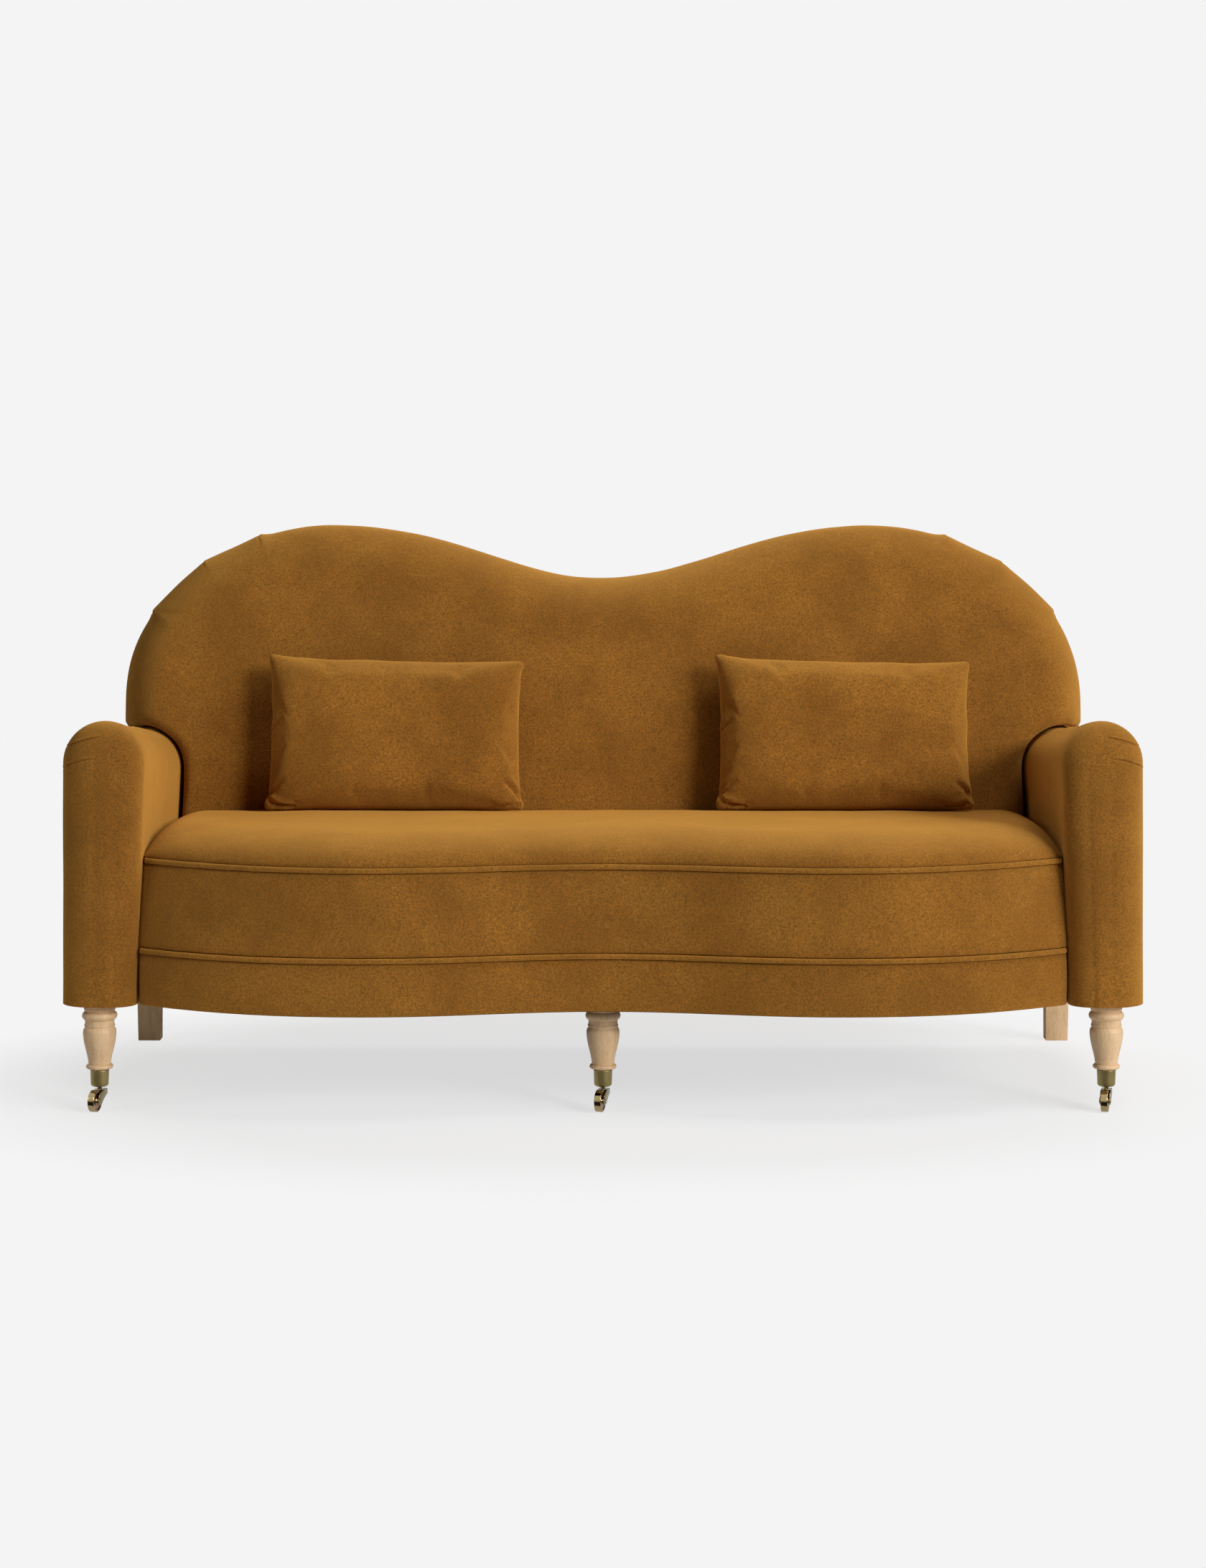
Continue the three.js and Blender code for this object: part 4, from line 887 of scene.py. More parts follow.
# %% Notches and pocket
NOTCH_ROOM = 0.0062
ARCH_INSET = 0.054
FRAME_THICKNESS = 0.030
POCKET_HALF = 0.8263
POCKET_PITCH = 0.03
CUT_PAST = 0.05
NOTCH_PAST = 0.08
pocket_depth = PANEL_THICKNESS + GAP + FRAME_THICKNESS + GAP
notches = [
    arm_form("notch", direction, NOTCH_ROOM, underside - CUT_PAST, NOTCH_PAST, 0.5)
    for direction in (-1, 1)
]
pocket_foot = back_low.z - CUT_PAST
pocket_outline = [Vector((POCKET_HALF, pocket_foot))]
pocket_outline += drawn_in(whole_arch(POCKET_PITCH), ARCH_INSET)[1:-1]
pocket_outline += [Vector((-POCKET_HALF, pocket_foot))]
pocket_rings = [back_ring(pocket_outline, lambda z: -0.02), back_ring(pocket_outline, lambda z: pocket_depth)]
cut_away(back, *notches, to_object(loft(pocket_rings), "pocket", smooth=False))
print("pocket", round(pocket_depth * 1000, 1), "mm deep")

# %% [markdown]
# A stuffed edge is never sharp. The cut edges could be bevelled, but a boolean leaves long
# thin faces that bevel badly. So a fine even mesh is made over the whole pad and smoothed,
# and more so at the mouth of each notch. At each shoulder the cloth is gathered at three
# tucks: it stands a little proud there, and pulls straight from tuck to tuck.

# %% Even mesh and gathered shoulders
VOXEL = 0.0068
PAD_PASSES = 5
MOUTH_REACH = 0.022
MOUTH_PASSES = 22
TUCKS = [Vector((0.706, 1.0540)), Vector((0.821, 0.9995)), Vector((0.922, 0.8970))]
TUCK_SPAN = 0.064
TUCK_FADE = 0.030
HUMP_HEART = Vector((ARCH_SPREAD, hump_level))


def smoothed(shape, corners, factor, passes=1):
    for _ in range(passes):
        bmesh.ops.smooth_vert(
            shape, verts=corners, factor=factor, use_axis_x=True, use_axis_y=True, use_axis_z=True,
        )


def tuck_lift(place, normal):
    """How far the cloth stands out by a tuck, or between two, on the way out of the arch."""
    spot = Vector((abs(place.x), place.z))
    outward = (spot - HUMP_HEART).normalized()
    facing = clamp(outward.x * normal.x * math.copysign(1, place.x) + outward.y * normal.z)
    between = TUCKS[0].x < spot.x and spot.y > TUCKS[-1].y
    nearest = min((spot - (tuck + (spot - tuck).project(outward))).length for tuck in TUCKS)
    if between:
        rise = 0.001 + 0.005 * (1 - clamp(nearest / TUCK_SPAN)) ** 2
    else:
        rise = 0.006 * (1 - clamp(nearest / TUCK_FADE)) ** 2
    return rise * facing ** 2.5 if spot.x > ARCH_SPREAD and spot.y > HUMP_HEART.y else 0


apply_modifier(back, "REMESH", mode="VOXEL", voxel_size=VOXEL, use_smooth_shade=True)
shape = opened(back)
smoothed(shape, shape.verts[:], 0.5, PAD_PASSES)
arm_tree = surface_tree(arms["right"])
mouth = []
for corner in shape.verts:
    place = Vector((abs(corner.co.x), corner.co.y, corner.co.z))
    if arm_tree.find_nearest(place, MOUTH_REACH)[0] is not None:
        mouth.append(corner)
smoothed(shape, mouth, 0.5, MOUTH_PASSES)
shape.normal_update()
for corner in shape.verts:
    wave = 0.0018 * unevenness(corner.co, 0.17, 51) + 0.0007 * unevenness(corner.co, 0.06, 53)
    wave += tuck_lift(corner.co, corner.normal)
    corner.co += corner.normal * wave
put_back(shape, back)
print("even mesh", len(back.data.vertices), "corners,", len(mouth), "at the notches")

# %% [markdown]
# A tuck is a short stitch that folds the cloth over the rounded edge. Each fold is a very
# shallow crease that runs from the rear roll over the top and a little way down the face.

# %% Tucks
TUCK_BESIDE = 0.006
TUCK_ROUTE = ((0.020, 0.138), (0.010, 0.125), (0.002, 0.105), (0.003, 0.070), (0.02, 0.03))
for direction in (-1, 1):
    for tuck in TUCKS:
        outward = (tuck - HUMP_HEART).normalized()
        beside = tuck + Vector((outward.y, -outward.x)) * TUCK_BESIDE
        route = []
        for inward, depth in TUCK_ROUTE:
            spot = beside - outward * inward
            route.append((direction * spot.x, rear_face(spot.y) - depth, spot.y))
        crease(back, on_surface(back, route), 0.0008, 0.0024, 0.6, (0.016, 0.009))
dress(back, velvet_cloth, "sofa", ["back_pad"])

# %% [markdown]
# The outside back is a panel of the same velvet, pulled over a thin pad and stitched all
# round. It could be part of the back, but then the seam between them would be lost. It is
# the outline drawn in a little, with a small roll at its edge.

# %% Outside back
PANEL_INSET = 0.022
PANEL_ROLL = (0.005, 0.006)
PANEL_STEPS = 4
side = half_width - PANEL_INSET / 2
side_top = arm_rear_top - arm_half + arm_half / 3
panel_outline = [Vector((side, panel_low.z)), Vector((side, side_top))]
panel_outline += drawn_in(whole_arch(0.02), PANEL_INSET)[1:-1]
panel_outline += [Vector((-side, side_top)), Vector((-side, panel_low.z))]
rings = [back_ring(panel_outline, lambda z: PANEL_THICKNESS)]
for i in range(PANEL_STEPS + 1):
    turn = math.pi / 2 * i / PANEL_STEPS
    inward, depth = PANEL_ROLL[0] * (1 - math.cos(turn)), PANEL_ROLL[1] * (1 - math.sin(turn))
    rings.append(back_ring(drawn_in(panel_outline, inward), lambda z: depth))
panel = to_object(loft(rings), "outside_back_cover")
shaded(panel, 40)
dress(panel, velvet_cloth, "sofa", ["outside_back"])

# %% [markdown]
# Two loose lumbar pillows lean on the back. A pillow is two panels sewn together and
# filled, so it is thick at the middle and thin along its seams. A stretched ball would
# lack the corners. So a flat grid is given a thickness, bellied out by a formula, with its
# sides drawn in between the corners, and covered by an even mesh.

# %% Pillow's pouch
PILLOW_SIZE = Vector((0.502, 0.120, 0.306))
PILLOW_CELLS = (84, 52)
PILLOW_POWERS = (4.6, 4.0)
PILLOW_START = 0.90
PILLOW_VOXEL = 0.0055
SIDE_DRAW = 0.022
TOP_DRAW = 0.030
FOOT_DRAW = 0.006


def formed_pouch(name):
    shape = bmesh.new()
    bmesh.ops.create_grid(shape, x_segments=PILLOW_CELLS[0], y_segments=PILLOW_CELLS[1], size=1)
    upright = Matrix.Rotation(math.pi / 2, 3, "X")
    bmesh.ops.rotate(shape, cent=(0, 0, 0), matrix=upright, verts=shape.verts[:])
    bmesh.ops.solidify(shape, geom=shape.faces[:], thickness=0.02)
    bmesh.ops.recalc_face_normals(shape, faces=shape.faces[:])
    middle = sum(corner.co.y for corner in shape.verts) / len(shape.verts)
    half = PILLOW_SIZE / 2
    for corner in shape.verts:
        front = -1 if corner.co.y < middle else 1
        u, v = (math.sin(clamp(w, -1, 1) * math.pi / 2) for w in (corner.co.x, corner.co.z))
        full = math.sqrt((1 - abs(u) ** PILLOW_POWERS[0]) * (1 - abs(v) ** PILLOW_POWERS[1]))
        across = half.x * u * (1 - SIDE_DRAW * (1 - v * v))
        up = half.z * v * (1 - (TOP_DRAW if v > 0 else FOOT_DRAW) * (1 - u ** 4))
        corner.co = Vector((across, front * (half.y * full * PILLOW_START + 0.002), up))
    made = to_object(shape, name)
    return apply_modifier(made, "REMESH", mode="VOXEL", voxel_size=PILLOW_VOXEL, use_smooth_shade=True)


# %% [markdown]
# Stuffing presses on the cloth from inside, and the cloth answers with small tensions that
# no formula has. A cloth simulation gives them: pressure swells the pouch for some frames
# and its seams stay back. No corner may move by more than a few millimetres, so that the
# pillow keeps its size.

# %% Cloth simulation
CLOTH_PRESSURE = 4.0
CLOTH_FRAMES = 20
CLOTH_CAP = 0.009


def blown_up(target):
    """Presses the cloth outwards from inside for some frames, then keeps the result."""
    rest_places = [corner.co.copy() for corner in target.data.vertices]
    cloth = target.modifiers.new("cloth", "CLOTH")
    cloth.settings.quality = 5
    cloth.settings.mass = 0.3
    cloth.settings.tension_stiffness = 15
    cloth.settings.compression_stiffness = 15
    cloth.settings.bending_stiffness = 0.5
    cloth.settings.use_pressure = True
    cloth.settings.uniform_pressure_force = CLOTH_PRESSURE
    cloth.settings.effector_weights.gravity = 0
    cloth.collision_settings.use_collision = False
    scene = bpy.context.scene
    for frame_number in range(1, CLOTH_FRAMES + 1):
        scene.frame_set(frame_number)
    shown = target.evaluated_get(bpy.context.evaluated_depsgraph_get())
    moved = [corner.co.copy() for corner in shown.data.vertices]
    target.modifiers.clear()
    scene.frame_set(1)
    for corner, start, end in zip(target.data.vertices, rest_places, moved):
        step = end - start
        corner.co = start + step * min(1, CLOTH_CAP / max(step.length, 1e-9))
    return target


# %% [markdown]
# Years of use leave their marks: ears at the corners with a hollow above the lower ones,
# waves along the edges, shallow dimples, and a few folds that run in from the seams. They
# could be sculpted, but as small moves of the corners they stay measured, and each pillow
# gets its own by another seed.

# %% Wear and folds of a pillow
# Each ear or hollow is a height, a place up the side as a share of half, and a width.
EARS = ((0.0045, -0.93, 0.075), (-0.0045, -0.80, 0.045), (0.0030, 0.94, 0.08))
# Folds by the corners, as shares of the half width and half height, for the outer side.
PILLOW_FOLDS = [
    [(0.995, -0.84), (0.955, -0.78), (0.90, -0.70), (0.84, -0.64)],
    [(0.960, -0.925), (0.88, -0.955), (0.76, -0.985)],
    [(0.985, 0.02), (0.94, 0.06), (0.88, 0.14)],
]
FOLD_DEPTHS = (0.0034, 0.0050)
FOLD_WIDTH = 0.0048


def hill(value, middle, width):
    return math.exp(-((value - middle) / width) ** 2)


def worn(target, seed):
    half = PILLOW_SIZE / 2
    for corner in target.data.vertices:
        place = corner.co.copy()
        u, v = place.x / half.x, place.z / half.z
        at_side = clamp((abs(u) - 0.82) / 0.18) ** 2
        at_end = clamp((abs(v) - 0.80) / 0.20) ** 2
        ear = sum(height * hill(v, middle, width) for height, middle, width in EARS)
        wave = 0.0030 * unevenness((0, 0, place.z), 0.045, seed + 9 * math.copysign(1, u))
        corner.co.x += math.copysign(1, u) * at_side * (ear + wave)
        corner.co.z += math.copysign(1, v) * at_end * 0.0028 * unevenness((place.x, 0, 0), 0.065, seed)
        dimple = 0.0035 * unevenness(place, 0.10, seed + 2) + 0.0012 * unevenness(place, 0.04, seed + 5)
        corner.co.y += dimple * (1 - at_side) * (1 - at_end)
    return target


def folded(target, mirrored):
    """Creases the front at both sides. The last fold is only on the mirrored side."""
    tree = surface_tree(target)
    half = PILLOW_SIZE / 2
    for direction in (-1, 1):
        for number, fold in enumerate(PILLOW_FOLDS):
            if number == 2 and direction != mirrored:
                continue
            route = []
            for u, v in fold:
                start = Vector((direction * u * half.x, -0.5, v * half.z))
                spot = tree.ray_cast(start, Vector((0, 1, 0)))[0]
                route.append(spot or tree.find_nearest(Vector((start.x, -0.015, start.z)))[0])
            depth = FOLD_DEPTHS[(direction == mirrored) == (number == 1)]
            crease(target, route, depth, FOLD_WIDTH, 0.7, (0.016, 0.010), False)
    return target


# %% [markdown]
# A heavy pillow flattens where it stands. It could be let down by a simulation, but the
# frame says where it has to end up. So its foot is moved to the seat all along, column by
# column, and no corner may lie inside the seat or the back.

# %% Setting a pillow down
COLUMN_WIDTH = 0.012
REST_GAP = 0.0015
ABOVE_SEAT = 0.7
BEFORE_BACK = -0.2
seat_tree = surface_tree(seat)
back_tree = surface_tree(back)


def set_down(target):
    corners = [corner.co for corner in target.data.vertices]
    feet = {}
    for c in corners:
        column = round(c.x / COLUMN_WIDTH)
        feet[column] = min(feet.get(column, 9), c.z)
    middle = sum(c.z for c in corners) / len(corners)
    for c in corners:
        foot = feet[round(c.x / COLUMN_WIDTH)]
        ground = seat_tree.ray_cast(Vector((c.x, c.y, ABOVE_SEAT)), Vector((0, 0, -1)))[0]
        if ground:
            share = clamp((middle - c.z) / (middle - foot)) ** 2
            c.z += (ground.z + REST_GAP - foot) * share
            c.z = max(c.z, ground.z + REST_GAP)
        behind = back_tree.ray_cast(Vector((c.x, BEFORE_BACK, c.z)), Vector((0, 1, 0)))[0]
        if behind:
            c.y = min(c.y, behind.y - REST_GAP)
    return target


# %% [markdown]
# The steps come together in one function, because both pillows are made alike: the pouch
# is filled, brought to its size, worn and folded, given a top edge that slopes a little,
# leaned on the back and set down.

# %% Pillows
PILLOW_LEAN = 13
PILLOW_SLOPES = {"left": 0.028, "right": 0.026}


def extremes(target):
    corners = [corner.co for corner in target.data.vertices]
    return [Vector([pick(c[axis] for c in corners) for axis in range(3)]) for pick in (min, max)]


def pillow(side_name, seed, mirrored):
    name = "pillow_" + side_name
    target = formed_pouch(name + "_cover")
    blown_up(target)
    least, most = extremes(target)
    for corner in target.data.vertices:
        for axis in range(3):
            centred = corner.co[axis] - (least[axis] + most[axis]) / 2
            corner.co[axis] = centred * PILLOW_SIZE[axis] / (most[axis] - least[axis])
    folded(worn(target, seed), mirrored)
    for corner in target.data.vertices:
        corner.co.z -= PILLOW_SLOPES[side_name] * corner.co.x * (0.5 + corner.co.z / PILLOW_SIZE.z)
    target.data.transform(Matrix.Rotation(math.radians(-PILLOW_LEAN), 4, "X"))
    least, most = extremes(target)
    low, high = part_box(name)
    target.data.transform(Matrix.Translation((low + high) / 2 - (least + most) / 2))
    set_down(target)
    shape = opened(target)
    smoothed(shape, shape.verts[:], 0.35)
    put_back(shape, target)
    apply_modifier(target, "SUBSURF", levels=1, render_levels=1)
    for face in target.data.polygons:
        face.use_smooth = True
    return dress(target, pillow_painted_light_cloth, name, [name])


pillow("left", 61, -1)
pillow("right", 67, -1)

# %% [markdown]
# The legs are pale oak with a satin finish, and the frame inside is plain pine. A wood
# texture could be wrapped round them, but a turned leg cuts through the grain. Noise that
# is stretched along the height gives figure that runs up through the whole piece, and a
# finer one gives the pores.

# %% Wood
GRAIN_STRETCH = (1, 1, 0.06)
PORES_FINER = 9
PORE_DARK = (0.78, 0.74, 0.70)


def wood(name, pale, dark, grain_scale, roughness):
    material, nodes, shader = new_material(name)
    along = object_coordinates(nodes, GRAIN_STRETCH)
    figure = noise_node(nodes, along, grain_scale, 5.0, 0.6)
    pores = noise_node(nodes, along, grain_scale * PORES_FINER, 3.0, 0.7)
    colour = ramp_node(nodes, figure, [(0.30, dark), (0.52, pale), (0.75, dark)])
    fine = ramp_node(nodes, pores, [(0.33, PORE_DARK), (0.50, (1.0, 1.0, 1.0))])
    set_inputs(shader, {
        "Base Color": multiply_node(nodes, colour, fine, 0.8),
        "Normal": bump_node(nodes, pores, 0.0003, 0.25),
        "Roughness": roughness,
        "Specular IOR Level": 0.4,
    })
    return material


oak = wood("pale_oak", (0.86, 0.60, 0.345), (0.75, 0.49, 0.262), 60.0, 0.42)
pine = wood("frame_pine", (0.60, 0.42, 0.22), (0.47, 0.30, 0.14), 25.0, 0.75)
print("woods", oak.name, pine.name)

# %% [markdown]
# The casters are brass that has gone dull, apart from the treads that rolling keeps bright.
# One gloss all over would look like plastic. Faint clouding in the colour and fine marks
# in the bump make it metal that has been used.

# %% Brass and steel
CLOUD_SCALE = 35.0
MARKS_FINER = 14


def metal(name, colour, shade, roughness):
    material, nodes, shader = new_material(name)
    place = object_coordinates(nodes)
    cloud = noise_node(nodes, place, CLOUD_SCALE, 4.0, 0.6)
    marks = noise_node(nodes, place, CLOUD_SCALE * MARKS_FINER, 2.0)
    set_inputs(shader, {
        "Base Color": ramp_node(nodes, cloud, [(0.35, shade), (0.65, colour)]),
        "Normal": bump_node(nodes, marks, 0.0001, 0.12),
        "Metallic": 1.0,
        "Roughness": roughness,
    })
    return material


aged_brass = metal("aged_brass", (0.43, 0.34, 0.142), (0.355, 0.275, 0.108), 0.46)
horn_brass = metal("horn_brass", (0.34, 0.28, 0.155), (0.27, 0.22, 0.115), 0.16)
wheel_brass = metal("wheel_brass", (0.46, 0.36, 0.17), (0.38, 0.29, 0.13), 0.10)
wheel_bronze = metal("wheel_side_bronze", (0.46, 0.28, 0.18), (0.38, 0.22, 0.14), 0.30)
zinc_steel = metal("zinc_steel", (0.62, 0.62, 0.64), (0.52, 0.52, 0.54), 0.38)
print("metals", aged_brass.name, horn_brass.name, wheel_brass.name, wheel_bronze.name, zinc_steel.name)

# %% [markdown]
# A turned leg is cut on a lathe from one blank: neck, bead, groove, collar, fine groove, a
# swelling shoulder that tapers to a waist, and a foot bead above the brass cup. It could
# be stacked from rings, but a profile spun about the axis gives it in one step.

# %% Lathe and leg profile
LATHE_STEPS = 96
leg_low, leg_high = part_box("front_leg_centre")


def lathe(profile, axis_place=(0, 0, 0), steps=LATHE_STEPS):
    """Spins (radius, height) pairs about an upright axis. The ends lie on the axis."""
    shape = bmesh.new()
    corners = [shape.verts.new((radius, 0, z)) for radius, z in profile]
    edges = [shape.edges.new(pair) for pair in zip(corners, corners[1:])]
    bmesh.ops.spin(
        shape, geom=corners + edges, cent=(0, 0, 0), axis=(0, 0, 1), angle=2 * math.pi,
        steps=steps, use_merge=True, use_duplicate=False,
    )
    bmesh.ops.remove_doubles(shape, verts=shape.verts[:], dist=1e-6)
    bmesh.ops.recalc_face_normals(shape, faces=shape.faces[:])
    bmesh.ops.translate(shape, vec=axis_place, verts=shape.verts[:])
    return shape


def arc(middle, radius, start, end, steps):
    """Points on an arc in the profile's plane, from one angle to another in degrees."""
    points = []
    for i in range(steps + 1):
        turn = math.radians(start + (end - start) * i / steps)
        points.append((middle[0] + radius * math.cos(turn), middle[1] + radius * math.sin(turn)))
    return points


def leg_profile():
    taper = []
    for i in range(1, 16):
        share = i / 16
        swell = math.cos(share * math.pi / 2) ** 1.5
        taper.append((0.021 + 0.0096 * swell, 0.144 - 0.056 * share))
    profile = [(0, leg_low.z), (0.0140, leg_low.z), (0.0148, 0.0742)]
    profile += arc((0.0208, 0.0805), 0.0042, -110, 95, 12)
    profile += [(0.0205, 0.0862), (0.0208, 0.0878)]
    profile += taper[::-1]
    profile += [(0.0306, 0.1440), (0.0304, 0.1470), (0.0294, 0.1500), (0.0278, 0.1522)]
    profile += [(0.0274, 0.1531)]
    profile += arc((0.0262, 0.1565), 0.0022, -60, 60, 6)
    profile += [(0.0272, 0.1598), (0.0268, 0.1618), (0.0270, 0.1640)]
    profile += arc((0.0240, 0.1745), 0.0084, -68, 68, 14)
    profile += [(0.0278, 0.1842), (0.0288, 0.1858), (0.0293, 0.1880), (0.0293, leg_high.z)]
    profile += [(0, leg_high.z)]
    return profile


print("leg profile", len(leg_profile()), "points up to", round(leg_high.z, 3))

# %% [markdown]
# A cast cup is screwed to the foot of each turned leg and holds the stem of its caster. It
# is round too, so it comes off the same lathe: a rim with a small bead, a wall, a rounded
# bottom edge, and a bore for the stem.

# %% Turned legs and their cups
cup_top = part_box("caster_cup_centre")[1].z


def cup_profile():
    profile = [(0, 0.0530), (0.0143, 0.0530), (0.0151, cup_top), (0.0154, cup_top + 0.0003)]
    profile += [(0.0169, cup_top + 0.0003), (0.0172, cup_top - 0.0003), (0.0172, cup_top - 0.0010)]
    profile += [(0.01643, 0.0512), (0.0164, 0.0502)]
    profile += arc((0.0110, 0.0490), 0.0054, 10, -84, 10)
    profile += [(0.0100, 0.0435), (0.0050, 0.0435), (0.0044, 0.0438), (0.0043, 0.0450)]
    profile += [(0.0043, 0.0513), (0, 0.0513)]
    return profile


def caster_spot(place_name):
    """The point on the floor below the middle of a cup."""
    low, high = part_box("caster_cup_" + place_name)
    return Vector(((low.x + high.x) / 2, (low.y + high.y) / 2, 0))


for place_name in ("left", "centre", "right"):
    leg = to_object(lathe(leg_profile(), caster_spot(place_name)), "turned_leg_" + place_name)
    shaded(leg, 32)
    dress(leg, oak, "sofa", ["front_leg_" + place_name])
    cup = to_object(lathe(cup_profile(), caster_spot(place_name)), "cup_" + place_name)
    shaded(cup, 40)
    dress(cup, aged_brass, "sofa", ["caster_cup_" + place_name])

# %% [markdown]
# Each caster has a cast horn that turns in the cup. Its heel lies flat behind the stem, and
# two cheeks curve down beside the wheel to the axle. It could be built from plates, but a
# casting is one body. So its side view is extruded to its breadth, slotted for the wheel,
# bored for the axle and given small eased edges.

# %% Horn
TRAIL = 0.022
WHEEL_RADIUS = 0.020
WHEEL_WIDTH = 0.0126
CHEEK = 0.002
WHEEL_ROOM = 0.0012
HEADING = math.radians(-15)
EYE_RADIUS = 0.007
BORE_RADIUS = 0.0028
HORN_TOP = 0.038
HEEL = (-0.014, 0.0285)
STEM = [(0, 0.034), (0.004, 0.034), (0.004, 0.0505), (0.0036, 0.051), (0, 0.051)]
horn_half = WHEEL_WIDTH / 2 + WHEEL_ROOM + CHEEK


def quadratic(a, b, c, steps):
    points = []
    for i in range(1, steps + 1):
        t = i / steps
        points.append(tuple(a[k] * (1 - t) ** 2 + 2 * b[k] * t * (1 - t) + c[k] * t * t for k in (0, 1)))
    return points


def circle(middle, radius, steps):
    turns = [2 * math.pi * i / steps for i in range(steps)]
    return [(middle[0] + radius * math.cos(turn), middle[1] + radius * math.sin(turn)) for turn in turns]


def side_prism(outline, half, name):
    """A side view of (forward, up) pairs given a breadth either side of the middle."""
    rings = [[Vector((x, -forward, up)) for forward, up in outline] for x in (-half, half)]
    return to_object(loft(rings), name, smooth=False)


def horn_outline():
    low = WHEEL_RADIUS - EYE_RADIUS
    crook = (TRAIL - 0.011, low)
    outline = [(HEEL[0], HORN_TOP), HEEL]
    outline += quadratic(HEEL, (0, WHEEL_RADIUS + EYE_RADIUS / 2), crook, 14)
    outline += quadratic(crook, (TRAIL - EYE_RADIUS, low - 0.0007), (TRAIL, low), 6)
    outline += arc((TRAIL, WHEEL_RADIUS), EYE_RADIUS, -80, 90, 14)
    eye_top = (TRAIL, WHEEL_RADIUS + EYE_RADIUS)
    return outline + quadratic(eye_top, (TRAIL - EYE_RADIUS, HORN_TOP), (0.004, HORN_TOP), 12)


def eased_edges(target, sharper, width):
    """Rounds the edges that are sharper than an angle in degrees."""
    shape = opened(target)
    bmesh.ops.remove_doubles(shape, verts=shape.verts[:], dist=1e-6)
    sharp = [e for e in shape.edges if e.is_manifold and e.calc_face_angle(0) > math.radians(sharper)]
    bmesh.ops.bevel(
        shape, geom=sharp, offset=width, offset_type="OFFSET", affect="EDGES", segments=2,
        profile=0.5, material=-1, clamp_overlap=True,
    )
    put_back(shape, target)


def horn(place_name, spot):
    body = side_prism(horn_outline(), horn_half, "horn_" + place_name)
    room = circle((TRAIL, WHEEL_RADIUS), WHEEL_RADIUS + WHEEL_ROOM, 64)
    slot_tool = side_prism(room, WHEEL_WIDTH / 2 + WHEEL_ROOM, "slot")
    bore_tool = side_prism(circle((TRAIL, WHEEL_RADIUS), BORE_RADIUS, 24), 0.03, "bore")
    cut_away(body, slot_tool, bore_tool)
    eased_edges(body, 50, 0.0005)
    stem = to_object(lathe(STEM, steps=48), "stem")
    apply_modifier(body, "BOOLEAN", operation="UNION", solver="MANIFOLD", object=stem)
    bpy.data.objects.remove(stem)
    body.data.transform(Matrix.Translation(spot) @ Matrix.Rotation(HEADING, 4, "Z"))
    return shaded(body, 35)


print("horn", round(2000 * horn_half, 1), "mm across its cheeks")

# %% [markdown]
# The wheel is cast with a hub and a dished web, and has a flat polished tread. The axle is
# a pin with a small riveted head at each end. Both are turned on the lathe and then laid
# on their side. The web is duller and redder than the tread, so it has its own finish.

# %% Wheels and axles
WHEEL_EASE = 0.0012
WHEEL_DISH = 0.0016
FACE_ON = 0.8


def mirrored_profile(half):
    return half + [(radius, -along) for radius, along in reversed(half)]


def wheel_profile():
    """A wheel's section: hub, dished web, rounded edge and flat tread, then its mirror."""
    half = WHEEL_WIDTH / 2
    web = half - WHEEL_DISH
    right = [(0.0028, half), (0.0055, half), (0.0060, half - 0.0003), (0.0068, web), (0.0075, web)]
    right += [(0.0148, web), (0.0155, web + 0.0004), (0.0161, half - 0.0003), (0.0166, half)]
    right += [(WHEEL_RADIUS - WHEEL_EASE - 0.0004, half)]
    right += arc((WHEEL_RADIUS - WHEEL_EASE, half - WHEEL_EASE), WHEEL_EASE, 90, 0, 6)
    right += [(WHEEL_RADIUS, half - WHEEL_EASE - 0.0006)]
    return mirrored_profile(right) + [right[0]]


def axle_profile():
    head = horn_half + GAP
    half = [(0, head + 0.0012), (0.0028, head + 0.0011), (0.0038, head + 0.0007), (0.0040, head)]
    return mirrored_profile(half + [(0.0025, head)])


def across_caster(profile, name, spot):
    """Spins (radius, along) pairs and lays the axis across the caster at the axle."""
    made = to_object(lathe(profile, steps=72), name)
    lay = Matrix.Translation((0, -TRAIL, WHEEL_RADIUS)) @ Matrix.Rotation(math.pi / 2, 4, "Y")
    made.data.transform(Matrix.Translation(spot) @ Matrix.Rotation(HEADING, 4, "Z") @ lay)
    return shaded(made, 35)


across = Matrix.Rotation(HEADING, 3, "Z") @ Vector((1, 0, 0))
for place_name in ("left", "centre", "right"):
    spot = caster_spot(place_name)
    swivel, roller = f"caster_{place_name}_swivel", f"caster_{place_name}_wheel"
    dress(horn(place_name, spot), horn_brass, swivel, ["caster_horn_" + place_name])
    axle = across_caster(axle_profile(), "axle_" + place_name, spot)
    dress(axle, aged_brass, swivel, ["caster_axle_" + place_name])
    wheel = across_caster(wheel_profile(), "wheel_" + place_name, spot)
    dress(wheel, wheel_brass, roller, ["caster_wheel_" + place_name])
    wheel.data.materials.append(wheel_bronze)
    for face in wheel.data.polygons:
        if abs(face.normal.dot(across)) > FACE_ON:
            face.material_index = 1

# %% [markdown]
# The rear legs are plain square oak, tapered and raked to the rear. They could be turned
# like the front ones, but hardly anyone sees them. A cube is shaped by moving its corners,
# and its edges are eased.

